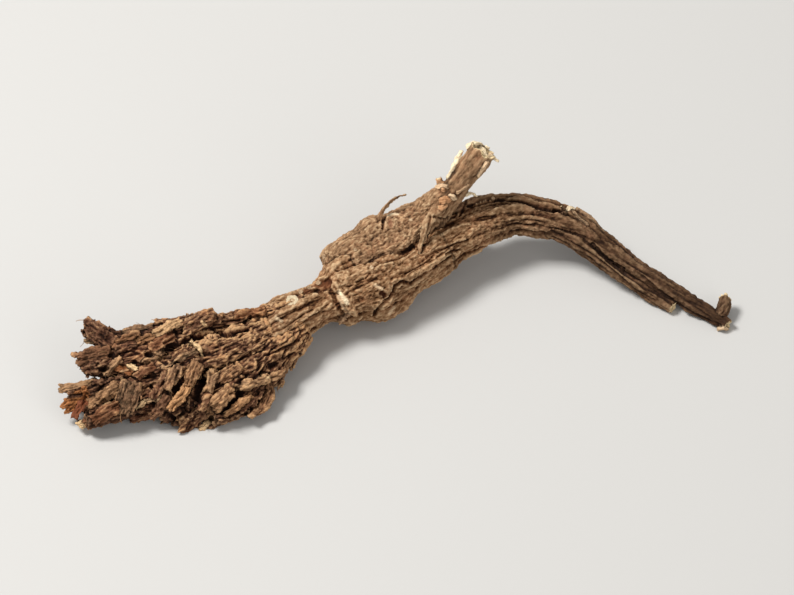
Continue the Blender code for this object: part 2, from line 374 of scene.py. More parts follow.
def mergedSkin(source, name, size):
    # One closed skin round everything in the source, its creases eased, kept inside the solid's box
    obj = bpy.data.objects.new(name, source.data.copy())
    bpy.context.scene.collection.objects.link(obj)
    remesh = obj.modifiers.new("merge", "REMESH")
    remesh.mode = "VOXEL"
    remesh.voxel_size = size["voxel"] * mm
    smooth = obj.modifiers.new("ease", "SMOOTH")
    smooth.factor = size["easeShare"]
    smooth.iterations = size["easing"]
    applyTree(obj, crumbTree, {})
    fitInside(obj)
    return obj


def surfaceOf(pieces):
    # The surface of several pieces' skins, in metres, and the piece that each of its faces belongs to
    points, faces, owners = [], [], []
    for piece, skins in pieces.items():
        for skin in skins:
            faces += [[i + len(points) for i in face] for face in skin["faces"]]
            points += (skin["verts"] * mm).tolist()
            owners += [piece] * len(skin["faces"])
    return BVHTree.FromPolygons(points, faces), owners


# The photograph's lines of sight, in millimetres: how far from the root's middle they start, and where
# along them the nearest place is looked for when they miss
sight = {"start": 80, "search": np.arange(50, 110, 0.5)}


def photoTouch(surface, u, v, lift=0.0):
    # Where the line of sight through a pixel of the photograph meets a surface, or passes nearest to it:
    # the place in millimetres, the surface's normal, the face met and how far off it is
    start = np.array([(u - view["centre"][0]) * view["pixel"], 0, 0]) + view["origin"]
    start = (start + upInView * (view["centre"][1] - v) * view["pixel"] + towardsCamera * sight["start"]) * mm
    place, normal, face, _ = surface.ray_cast(Vector(start), Vector(-towardsCamera))
    off = 0
    if place is None:
        near = [surface.find_nearest(Vector(start - towardsCamera * step * mm)) for step in sight["search"]]
        place, normal, face, off = min(near, key=lambda found: found[3])
        place = start + towardsCamera * (np.array(place) - start).dot(towardsCamera)
    return np.array(place) / mm + towardsCamera * lift, np.array(normal), face, off / mm


def layFlakes(pieces, flakes, seed, duskAcross, lifted=1.0, depthRoom=1.4, **fields):
    # Flakes laid on the root along pixels of the photograph, given as (route of (u, v, lift in millimetres),
    # width, thickness, tint); each joins the skins of the piece that it lies on. Their dusk goes by u, and
    # none spreads further in depth than its room
    surface, owners = surfaceOf(pieces)
    for i, (route, width, thickness, tint) in enumerate(flakes):
        touched = [photoTouch(surface, u, v, lift * lifted) for u, v, lift in route]
        depths = np.array([found[0] @ towardsCamera for found in touched])
        usual = np.median(depths)
        drawn = np.clip(depths, usual - depthRoom, usual + depthRoom) - depths
        places = [found[0] + towardsCamera * step for found, step in zip(touched, drawn)]
        facing = np.mean([found[1] for found in touched], axis=0) + towardsCamera
        flake = looseFlake(places, width, thickness, facing / np.linalg.norm(facing), seed + i, tint=tint,
                           dusk=np.interp(route[1][0], *zip(*duskAcross)), **fields)
        pieces[owners[touched[len(touched) // 2][2]]].append(flake)


# What shapes the relief besides each skin's own sizes
reliefForm = {
    "toneShift": 90.0,    # how far a piece's tone moves its pattern, so that no two are the same
    # Noise along the grain: its offset, detail, roughness and distortion
    "ridge": (3.1, 1.0, 0.45, 0.25), "gate": (60.0, 1.0), "fold": (17.3, 2.5), "hole": (40.0, 1.5),
    "corkOffset": 5.0, "grooveSteep": 8.0, "grooveRound": 0.62,
    "gateStretch": (1.6, 0.45), "holeStretch": 2.0,    # against the ridges' width and length, and the hole's
    # What each pattern is mapped from and to
    "gateRange": (0.36, 0.6, 0.2, 1.0), "foldRange": (0.3, 0.7, 0.0, 1.0),
    "holeRange": (0.3, 0.43, -1.0, 0.0), "calmRange": (0.0, 1.0, 1.0, 0.25),
    "peelRange": (0.0, 1.0, 1.0, 0.3),
    # How many rounds of blurring a hollow is measured against
    "rounds": {"cavity": 8, "hollow": 80}}


def buildReliefTree(form):
    # Pushes a skin in and out along its grain, for its folds, cracks and cork, and notes the height and
    # the hollows for the materials. Sizes are in millimetres
    tree = newTree("barkRelief", {
        "Source": "Object", "Material": "Material", "Box Low": "Vector", "Box High": "Vector",
        "Ridge Width": 1.9, "Ridge Length": 15.0, "Ridge Depth": 0.7, "Fold Width": 0.6, "Fold Length": 2.0,
        "Fold Depth": 0.2, "Cork Width": 0.6, "Cork Length": 0.9, "Cork Depth": 0.15, "Lump Size": 5.0,
        "Lump Depth": 0.6, "Hole Size": 2.2, "Hole Depth": 0.0})
    add = partial(addNode, tree)
    given = add("NodeGroupInput").outputs
    source = add("GeometryNodeObjectInfo", {"Object": given["Source"]}).outputs["Geometry"]

    def fromSource(field):
        named = add("GeometryNodeInputNamedAttribute", {"Name": field}, data_type=fieldKind(field))
        return add("GeometryNodeSampleNearestSurface", {"Mesh": source, "Value": named},
                   data_type=fieldKind(field))

    def alongGrain(width, length, offset):
        # The grain's own coordinates, counted in steps of this width and length
        size = add("CombineXYZ", [width, width, length])
        placed = add("VectorMath", [grain, size], "DIVIDE")
        return add("VectorMath", [placed, (offset, offset * 2, offset * 3)])

    def stretched(width, length, offset, detail, roughness=0.6, distortion=0.0):
        # Noise that runs along the grain
        return add("TexNoise", {"Vector": alongGrain(width, length, offset), "Scale": 1.0,
                                "Detail": detail, "Roughness": roughness, "Distortion": distortion})

    tone = fromSource("tone")
    moved = add("Math", [tone, form["toneShift"]], "MULTIPLY")
    grain = add("VectorMath", [fromSource("grain"), moved])
    ridged, calm = fromSource("ridged"), fromSource("calm")
    peel, pit = (add("GeometryNodeInputNamedAttribute", {"Name": field}, data_type="FLOAT")
                 for field in ("peel", "pit"))
    position, normal = add("GeometryNodeInputPosition"), add("GeometryNodeInputNormal")

    # Rounded ridges; the narrow grooves between them open and close along their way
    noise = stretched(given["Ridge Width"], given["Ridge Length"], *form["ridge"])
    gap = add("Math", [noise, 0.5], "SUBTRACT")
    away = add("Math", [gap], "ABSOLUTE")
    steep = add("Math", [away, form["grooveSteep"]], "MULTIPLY", use_clamp=True)
    rounded = add("Math", [steep, form["grooveRound"]], "POWER")
    groove = add("Math", [1.0, rounded], "SUBTRACT")
    gateWidth, gateLength = (add("Math", [given[size], share], "MULTIPLY")
                             for size, share in zip(("Ridge Width", "Ridge Length"), form["gateStretch"]))
    gate = add("MapRange", [stretched(gateWidth, gateLength, *form["gate"]), *form["gateRange"]])
    opened = add("Math", [groove, gate], "MULTIPLY")
    ridges = add("Math", [1.0, opened], "SUBTRACT")

    # Small folds, cells of cork, lumps, and holes between the leaf bases
    folded = stretched(given["Fold Width"], given["Fold Length"], *form["fold"])
    folds = add("MapRange", [folded, *form["foldRange"]])
    cells = add("TexVoronoi", {
        "Vector": alongGrain(given["Cork Width"], given["Cork Length"], form["corkOffset"]), "Scale": 1.0})
    squared = add("Math", [cells, cells], "MULTIPLY", use_clamp=True)
    cork = add("Math", [1.0, squared], "SUBTRACT")
    lumpScale = add("Math", [1000.0, given["Lump Size"]], "DIVIDE")
    lumps = add("TexNoise", {"Vector": position, "Scale": lumpScale, "Detail": 1.0})
    holeLength = add("Math", [given["Hole Size"], form["holeStretch"]], "MULTIPLY")
    holes = add("MapRange", [stretched(given["Hole Size"], holeLength, *form["hole"]), *form["holeRange"]])
    rough = add("MapRange", [calm, *form["calmRange"]])

    # Each height is its depth times the pattern, less its middle, and where the bark is gone it is plain
    height = None
    for pattern, depth, middle, share in (
            (ridges, "Ridge Depth", 0.8, ridged), (folds, "Fold Depth", 0.5, rough),
            (cork, "Cork Depth", 0.7, rough), (lumps, "Lump Depth", 0.5, 1.0),
            (holes, "Hole Depth", 0.0, 1.0)):
        centred = add("Math", [pattern, middle], "SUBTRACT")
        scaled = add("Math", [centred, given[depth]], "MULTIPLY")
        shared = add("Math", [scaled, share], "MULTIPLY")
        height = shared if height is None else add("Math", [height, shared])
    kept = add("MapRange", [peel, *form["peelRange"]])
    height = add("Math", [height, kept], "MULTIPLY")
    height = add("Math", [height, pit], "SUBTRACT")
    metres = add("Math", [height, mm], "MULTIPLY")
    offset = add("VectorMath", {"Vector": normal, "Scale": metres}, "SCALE")
    pushed = add("VectorMath", [position, offset])
    aboveFloor = add("VectorMath", [pushed, given["Box Low"]], "MAXIMUM")
    inBox = add("VectorMath", [aboveFloor, given["Box High"]], "MINIMUM")

    def noted(geometry, field, value):
        return add("GeometryNodeStoreNamedAttribute", {"Geometry": geometry, "Name": field, "Value": value},
                   data_type=fieldKind(field), domain="POINT")

    geometry = given["Geometry"]
    for field, value in (("grain", grain), ("tone", tone), ("wood", fromSource("wood")), ("relief", ridges),
                         ("dusk", fromSource("dusk")), ("calm", calm), ("tint", fromSource("tint")),
                         ("heading", fromSource("heading"))):
        geometry = noted(geometry, field, value)
    geometry = add("GeometryNodeSetPosition", {"Geometry": geometry, "Position": inBox})

    # How far each point stands out of its surroundings, near by and further away, in millimetres
    for field, rounds in form["rounds"].items():
        blurred = add("GeometryNodeBlurAttribute", {"Value": position, "Iterations": rounds},
                      data_type="FLOAT_VECTOR")
        apart = add("VectorMath", [position, blurred], "SUBTRACT")
        outward = add("VectorMath", [apart, normal], "DOT_PRODUCT").outputs["Value"]
        geometry = noted(geometry, field, add("Math", [outward, 1000.0], "MULTIPLY"))
    smooth = add("GeometryNodeSetShadeSmooth", {"Geometry": geometry})
    finished = add("GeometryNodeSetMaterial", {"Geometry": smooth, "Material": given["Material"]})
    add("NodeGroupOutput", [finished])
    return tree


# What each pattern of the bark is mapped from, and to where no look has its own
barkRanges = {"cork": (0.15, 0.75, 1.0, 0.0), "blotch": (0.42, 0.62, 0.0), "fleck": (0.35, 0.65),
              "streak": (0.35, 0.65, 0.6, 1.1), "shade": (-0.14, 0.03, 0.3, 1.0), "ends": (0.3, 0.75, 0.0),
              "rough": (0.3, 0.7)}


def barkMaterial(name, look):
    # Dry plant skin: painted shade darkens its grooves and hollows, painted highlight lightens its folds,
    # with fibres along the grain
    material = bpy.data.materials.new(name)
    material.use_nodes = True
    tree = material.node_tree
    tree.nodes.clear()
    add = partial(addNode, tree)
    grain = add("Attribute", attribute_name="grain").outputs["Vector"]
    heights = {field: add("Attribute", attribute_name=field).outputs["Fac"]
               for field in ("relief", "cavity", "hollow", "wood", "tone", "dusk", "calm", "pit")}
    tint = add("Attribute", attribute_name="tint").outputs["Vector"]
    tints = add("SeparateXYZ", [tint]).outputs
    place = add("TexCoord").outputs["Object"]

    fibrePlace, corkPlace = (add("VectorMath", [grain, tuple(1 / s for s in look[part])],
                                 operation="MULTIPLY") for part in ("fibre", "cork"))
    fibres = add("TexNoise", {"Vector": fibrePlace, "Scale": 1.0, "Detail": 3.0, "Roughness": 0.6,
                              "Distortion": 0.3})
    cells = add("TexVoronoi", {"Vector": corkPlace, "Scale": 1.0})
    cork = add("MapRange", [cells, *barkRanges["cork"]])
    grit = add("TexNoise", {"Vector": place, "Scale": 1000 / look["grit"], "Detail": 4.0, "Roughness": 0.65})
    blotches = add("TexNoise", {"Vector": place, "Scale": 1000 / look["blotch"], "Detail": 2.0,
                                "Roughness": 0.5})

    # One value from dark to light, which the ramp turns into the bark's colours
    patterns = {**heights, "fibre": fibres, "cork": cork, "grit": grit, "blotch": blotches}
    # relief, cavity, hollow and pit add painted shade in grooves, hollows and sunk marks, painted highlight
    # on what stands out
    middles = {"relief": 0.75, "cavity": 0.0, "hollow": 0.0, "fibre": 0.5, "cork": 0.6, "grit": 0.5,
               "blotch": 0.5, "tone": 0.5, "pit": 0.0}
    level = look["middle"]
    for pattern, middle in middles.items():
        centred = add("Math", [patterns[pattern], middle], "SUBTRACT")
        scaled = add("Math", [centred, look[pattern + "Share"]], "MULTIPLY")
        level = add("Math", [level, scaled])
    dusky = add("Math", [heights["dusk"], look["duskShare"]], "MULTIPLY")
    level = add("Mix", {"Factor": dusky, "A": level, "B": look["duskLevel"]}, clamp_factor=False)
    ramp = add("ValToRGB", [level])
    stops = look["colours"]
    while len(ramp.color_ramp.elements) < len(stops):
        ramp.color_ramp.elements.new(0.5)
    for element, (at, code) in zip(ramp.color_ramp.elements, stops):
        element.position = at
        element.color = linearColour(code)

    # Redder in some places and greyer in others; each leaf base has its own hue
    ownHue = add("Math", [heights["tone"], 7.31], "MULTIPLY")
    ownHue = add("Math", [ownHue], "FRACT")
    hue = add("MapRange", [ownHue, 0.0, 1.0, -look["hueShare"], look["hueShare"]])
    mottled = add("MapRange", [blotches, *barkRanges["blotch"], look["warmth"]])
    flecks = add("MapRange", [grit, *barkRanges["fleck"], -look["fleckShare"], look["fleckShare"]])
    mottled = add("Math", [mottled, flecks])
    warmth = add("Math", [mottled, hue], use_clamp=True)
    colour = add("Mix", {"Factor": warmth, "A": ramp, "B": linearColour(look["warm"])},
                 data_type="RGBA", blend_type="SOFT_LIGHT").outputs["Result"]
    vivid = add("MapRange", [heights["dusk"], 0.0, 1.0, 1.0, look["duskVivid"]])
    yellower = add("MapRange", [heights["dusk"], 0.0, 1.0, 0.5, look["duskHue"]])
    colour = add("HueSaturation", {"Hue": yellower, "Saturation": vivid, "Color": colour})

    # Peeled places: pale wood, orange inner bark and red-brown skin, streaked along the fibres
    streak = add("MapRange", [fibres, *barkRanges["streak"]])
    # painted shade: where the surface lies hollow, the peeled colours go towards the deep colour
    shade = add("MapRange", [heights["cavity"], *barkRanges["shade"]])
    streaked = add("Math", [streak, shade], "MULTIPLY")
    ends = add("MapRange", [heights["wood"], *barkRanges["ends"], look["woodShare"]])
    for share, part in ((tints["Z"], "red"), (tints["Y"], "orange"), (tints["X"], "pale"), (ends, "wood")):
        laid = add("Mix", {"Factor": streaked, "A": linearColour(look["deep"]),
                           "B": linearColour(look[part])}, data_type="RGBA").outputs["Result"]
        colour = add("Mix", {"Factor": share, "A": colour, "B": laid}, data_type="RGBA").outputs["Result"]

    rough = add("MapRange", [fibres, *barkRanges["rough"], *look["roughness"]])
    coarse = add("Math", [grit, look["gritBump"]], "MULTIPLY")
    corky = add("MapRange", [heights["calm"], 0.0, 1.0, look["corkBump"], look["calmBump"]])
    corkHigh = add("Math", [cork, corky], "MULTIPLY")
    heightMap = add("Math", [fibres, coarse])
    heightMap = add("Math", [heightMap, corkHigh])
    bump = add("Bump", {"Strength": 1.0, "Distance": look["bump"] * mm, "Height": heightMap})
    shader = add("BsdfPrincipled", {"Base Color": colour, "Roughness": rough, "Normal": bump,
                                    "Specular IOR Level": look["gloss"]})
    add("OutputMaterial", [shader])
    return material


# Dried cork bark of the root: thin, matt, grey-brown, with painted shade in its grooves and painted highlight
# on its folds. Sizes are in millimetres
barkLook = {
    "fibre": (0.25, 0.25, 1.3), "cork": (0.5, 0.5, 0.75), "grit": 1.2, "blotch": 7.0, "middle": 0.54,
    # the relief, cavity, hollow and pit shares set the painted shade in hollows and the painted highlight on
    # what stands out
    "reliefShare": 0.25, "cavityShare": 1.9, "hollowShare": 0.35, "fibreShare": 0.55, "corkShare": 0.15,
    "gritShare": 0.95, "blotchShare": 0.5, "toneShare": 0.0, "pitShare": -0.22,
    "duskShare": 0.5, "duskLevel": -0.17, "duskVivid": 0.86, "duskHue": 0.51,
    "colours": [(0.0, "#281103"), (0.22, "#4c2d14"), (0.45, "#7a583a"), (0.68, "#987655"), (0.95, "#bf9f7a")],
    "warm": "#9a5c40", "warmth": 0.2, "hueShare": 0.0, "fleckShare": 0.25,
    "pale": "#ffe9c2", "orange": "#c47c42", "red": "#7c4430", "deep": "#4a2a14", "wood": "#f0d6a6",
    "woodShare": 0.95, "roughness": (0.65, 0.92), "gloss": 0.14, "bump": 0.2, "gritBump": 0.7,
    "corkBump": 0.8, "calmBump": 0.1}

# Weathered fibrous leaf bases of the crown: darker, with painted shade deep in their gaps, and tan broken
# fibres
leafBaseLook = {
    **barkLook, "fibre": (0.17, 0.17, 0.8), "grit": 0.9, "middle": 0.435, "reliefShare": 0.25,
    "cavityShare": 1.6, "hollowShare": 0.45, "fibreShare": 0.8, "gritShare": 1.25, "toneShare": 0.16,
    "duskVivid": 0.95, "duskHue": 0.503, "hueShare": 0.06,
    "colours": [(0.0, "#200e05"), (0.22, "#3f2413"), (0.45, "#694833"), (0.68, "#8b684a"), (0.95, "#bd956b")],
    "pale": "#f2cd9a", "wood": "#a88460", "woodShare": 0.4, "bump": 0.22}

reliefTree = buildReliefTree(reliefForm)
driedBark = barkMaterial("driedCorkBark", barkLook)
leafBaseFibre = barkMaterial("weatheredLeafBase", leafBaseLook)
boxInputs = {"Box Low": tuple(cadLow), "Box High": tuple(cadHigh)}
print("relief tree and materials ready")

# Grooves, pits and peeled places that the photograph shows, over the whole root: (route in its pixels,
# width in pixels, depth in millimetres) and, where the bark has gone, the shares of pale wood, orange
# inner bark and red-brown skin
marks = [
    # between the lobes and along them
    ([(455, 379), (461, 377.5), (466, 377), (470, 374), (475, 370)], 3.4, 0.6),
    ([(447.5, 388.5), (450, 386)], 1.7, 0.4), ([(442, 391), (446, 389)], 1.5, 0.35),
    ([(438, 378), (440, 377)], 1.8, 0.4), ([(449, 382.5), (455, 380.5)], 1.6, 0.35),
    ([(452, 410.5), (456, 405.5), (460, 402), (463.5, 398), (465, 393.5), (469, 391),
     (473, 391.5)], 2.6, 0.75), ([(471, 385.5), (477, 382.5), (482, 380), (487, 376.5)], 1.8, 0.55),
    ([(474, 392), (479, 388.5), (485, 384.5), (491, 380.5), (498, 376)], 2.3, 0.7),
    ([(483, 376), (489, 372.5), (495, 370), (502, 368), (508, 366)], 1.7, 0.55),
    ([(495, 374.5), (503, 371.5)], 1.5, 0.4), ([(488, 352.5), (495, 354), (501, 351)], 1.8, 0.5),
    ([(485.5, 352.5), (484.5, 360), (483, 366), (481.5, 371)], 2.0, 0.6),
    ([(503, 351.5), (505.5, 346), (507, 342.5)], 1.8, 0.5),
    # under the upper strand, and between the strands
    ([(508, 345.5), (514, 344.5), (520, 342.5), (530, 341.5), (540, 343), (549, 346), (558, 348.5),
     (567, 348)], 2.1, 0.9), ([(536, 356), (541, 354.5), (545, 352.5)], 1.4, 0.3),
    ([(538, 358), (546, 356.5)], 1.3, 0.3), ([(548, 354), (554, 356)], 1.3, 0.3),
    ([(572, 350), (579, 358)], 1.3, 0.3), ([(585, 358), (592, 364), (598, 368)], 1.4, 0.3),
    ([(597, 368), (604, 374), (612, 379), (621, 384)], 1.6, 0.5),
    ([(582, 368), (588, 374), (594, 379), (601, 383)], 2.2, 0.55),
    ([(608, 384), (615, 390), (622, 396), (630, 401.5)], 2.0, 0.4),
    ([(631, 402.5), (640, 408), (650, 413.5), (658, 417)], 2.0, 0.4),
    # the neck, the edge of the body above it, and the pit of a rootlet
    ([(404, 419), (410, 415), (416, 411), (424, 406.5)], 1.5, 0.45),
    ([(421, 407), (425, 404.5)], 1.4, 0.4),
    ([(399, 430), (406, 426), (412, 421.5), (418, 418)], 1.7, 0.55),
    ([(411, 396.5), (416, 395.5), (421, 396), (425, 393.5)], 4.6, 1.0),
    ([(406, 398), (410, 400)], 2.4, 0.6),
    ([(411, 394.5), (416, 392.5), (421, 391.5), (425, 391)], 5.5, 0.7, (0, 0.06, 0.35)),
    ([(424, 390.5), (427, 396.5), (429.5, 402), (432.5, 408), (436, 413)], 3.4, 0.65),
    ([(431, 383), (434, 388), (437, 393)], 9, -0.5),
    ([(429, 389), (432, 395), (435, 401), (438, 407), (443, 412)], 4.5, -0.45),
    ([(431.5, 396.5), (434, 400), (436.5, 403)], 2.8, -0.1, (0.95, 0.1, 0)),
    ([(431, 399), (433.5, 405), (438, 410)], 1.6, 0, (0.4, 0.2, 0)),
    ([(459, 351.5), (457.5, 355), (457.5, 359)], 2.2, 0.7),
    ([(461.5, 354.5), (462, 357.5)], 3, 0.1, (0, 0, 0.6)),
    ([(460, 352), (463, 350.8), (466.5, 351)], 1.6, -0.25, (0.75, 0, 0)),
    # peeled spots
    ([(457.5, 397.5), (459, 398.5)], 3.6, 1.2, (0, 0, 0.6)),
    ([(453, 393), (457, 395)], 2.4, -0.25, (0.5, 0.3, 0)),
    ([(450.5, 382), (451, 382.5)], 2.4, -0.1, (0.7, 0.4, 0)),
    ([(461.5, 409.5), (464, 406)], 2.4, 0, (0.5, 0.5, 0)),
    ([(473.5, 354), (474, 354)], 2.2, -0.1, (0.5, 0.2, 0)),
    ([(395, 412.5), (398, 414)], 3, -0.1, (0.45, 0.1, 0)),
    ([(657, 418.5), (662, 418.5)], 2.6, 0, (0.35, 0.3, 0)),
    ([(628.5, 406.5), (631.5, 407.5)], 2.6, 0, (0.3, 0.2, 0)),
    ([(389.5, 447.5), (391, 446.5)], 2, -0.1, (0.9, 0, 0)),
    ([(351.5, 414), (354, 417)], 2.2, -0.1, (0.7, 0.2, 0)), ([(353, 414.5), (354, 415)], 1.6, 0.4),
    # gaps of the crown
    ([(334, 428.5), (343, 425), (350, 423), (357, 422), (364, 421.5), (371, 421.8)], 3.6, 1.7),
    ([(358, 421.8), (365, 421), (371, 420.2), (378, 418.6)], 2.8, 1.5),
    ([(376, 415), (380, 414), (385, 413.5)], 2, 0.8), ([(332, 431), (338, 429), (344, 427)], 7, 1.2),
    ([(319, 433.5), (325, 435), (331, 438.5)], 3.2, 1.2), ([(300, 447.5), (306, 447.5)], 4.2, 1.2),
    ([(292, 443), (296, 442)], 3, 0.9), ([(283, 443.5), (287, 442)], 2.7, 0.8),
    ([(275, 457.5), (281, 457)], 2.2, 0.8), ([(283.5, 457), (282, 462), (284, 467)], 3.4, 1.0),
    ([(293, 461.5), (299, 458.5)], 3.2, 1.0), ([(313, 467.5), (318, 465), (323, 462.5)], 2.6, 0.9),
    ([(337.5, 444), (337.5, 449), (336, 454.5)], 3.4, 1.3),
    ([(352, 447), (349.5, 452), (348, 458), (348, 462)], 5.8, 1.5),
    ([(353, 443), (356.5, 442), (360, 442.5)], 2.6, 0.9), ([(361, 451), (359, 455)], 2.6, 0.8),
    ([(341, 466), (346, 463), (350, 461)], 5, 1.1), ([(331, 468.5), (335, 470.5)], 3.6, 0.9),
    ([(376, 456), (371, 460), (366, 464), (363.5, 468)], 2.6, 1.0),
    ([(370.5, 438.2), (375, 436), (380, 433)], 1.9, 0.8),
    ([(384, 437), (388, 434), (396, 431.5), (403, 428.5), (408, 425)], 1.9, 0.8),
    ([(371, 450), (376, 448), (382, 447), (388, 444)], 2.2, 0.8), ([(391, 441.5), (395, 439)], 3, 0.7),
    ([(369, 456.5), (373, 456)], 2.6, 0.9), ([(384.5, 456), (384, 461), (379, 466)], 2.2, 0.7),
    ([(375, 470), (381, 465.5)], 1.8, 0.6), ([(402, 434), (406, 433)], 2.6, 0.6),
    ([(330, 427), (336, 423.5)], 2.4, 0.7), ([(316, 425.5), (322, 421.5)], 1.7, 0.5),
    ([(302, 427), (306, 426)], 2, 0.5), ([(297, 434.5), (300, 433)], 2.2, 0.7),
    ([(277.5, 436.5), (280, 436)], 2.2, 0.6), ([(281, 421), (283, 423.5)], 2.6, 0.8),
    ([(312, 432), (316, 434)], 2.6, 0.8), ([(322, 452), (324, 457)], 2.4, 0.7)]

# How a mark is drawn: the size, seed and share of each unevenness of its edge, how far out it begins and
# how soon it is whole, in half widths, the share of its depth that is sunk, the least that a place faces
# the camera, and the clearance in millimetres of the line of sight
markForm = {"uneven": ((0.9, 5, 0.16), (0.4, 6, 0.12)), "begins": 1.2, "whole": 0.9, "sunk": 0.75,
            "facing": 0.05, "clearance": 0.4}


def photoMarks(skin):
    # For each vertex, how far its bark has gone, how deep it is sunk in millimetres and the tint of what
    # shows there
    points, normals = meshPoints(skin.data)
    surface = BVHTree.FromObject(skin, bpy.context.evaluated_depsgraph_get())
    flat = points - view["origin"]
    seen = np.stack([flat[:, 0], -(flat @ upInView)], 1) / view["pixel"] + view["centre"]
    facing = normals @ towardsCamera > markForm["facing"]
    uneven = sum(wobble(points, size, seed) * share for size, seed, share in markForm["uneven"])
    peel, pit, tint = np.zeros(len(points)), np.zeros(len(points)), np.zeros((len(points), 3))
    for route, width, depth, *tints in marks:
        tints = tints[0] if tints else (0, 0, 0)
        route = np.array(route, float)
        room = (seen > route.min(0) - width) & (seen < route.max(0) + width)
        near = np.flatnonzero(room.all(1) & facing)
        away = np.full(len(near), np.inf)
        for a, b in zip(route, route[1:]):
            share = np.clip((seen[near] - a) @ (b - a) / ((b - a) @ (b - a)), 0, 1)
            away = np.minimum(away, np.linalg.norm(seen[near] - a - share[:, None] * (b - a), axis=1))
        reach = away * 2 / width + uneven[near]
        close = reach < markForm["begins"]
        mask = np.clip((markForm["begins"] - reach[close]) / markForm["whole"], 0, 1)
        mask = mask * mask * (3 - 2 * mask)
        chosen = near[close]
        clear = np.array([surface.ray_cast(Vector((points[i] + towardsCamera * markForm["clearance"]) * mm),
                                           Vector(towardsCamera))[0] is None for i in chosen], bool)
        chosen, mask = chosen[clear], mask[clear]
        sunk = mask * depth * markForm["sunk"]
        pit[chosen] = np.where(np.abs(sunk) > np.abs(pit[chosen]), sunk, pit[chosen])
        tint[chosen] = np.maximum(tint[chosen], mask[:, None] * tints)
        peel[chosen] = np.maximum(peel[chosen], mask * (max(tints) > 0))
    return peel, pit, tint


def finishSkin(source, name, size, material):
    # Merges a source into one skin, marks it by the photograph, gives it its relief and hands it over
    skin = mergedSkin(source, name, size)
    peel, pit, tint = photoMarks(skin)
    storeField(skin.data, "peel", peel)
    storeField(skin.data, "pit", pit)
    applyTree(skin, reliefTree, {"Source": source, "Material": material, **boxInputs, **size["relief"]})
    held = skin.data.attributes["tint"].data
    tints = np.empty(tint.size, np.float32)
    held.foreach_get("vector", tints)
    held.foreach_set("vector", np.maximum(tints, tint.ravel()).astype(np.float32))
    bpy.data.objects.remove(source)
    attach(skin, "root")
    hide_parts("bupleurum_root")
    print(name, "made:", len(skin.data.polygons), "faces")
    return skin


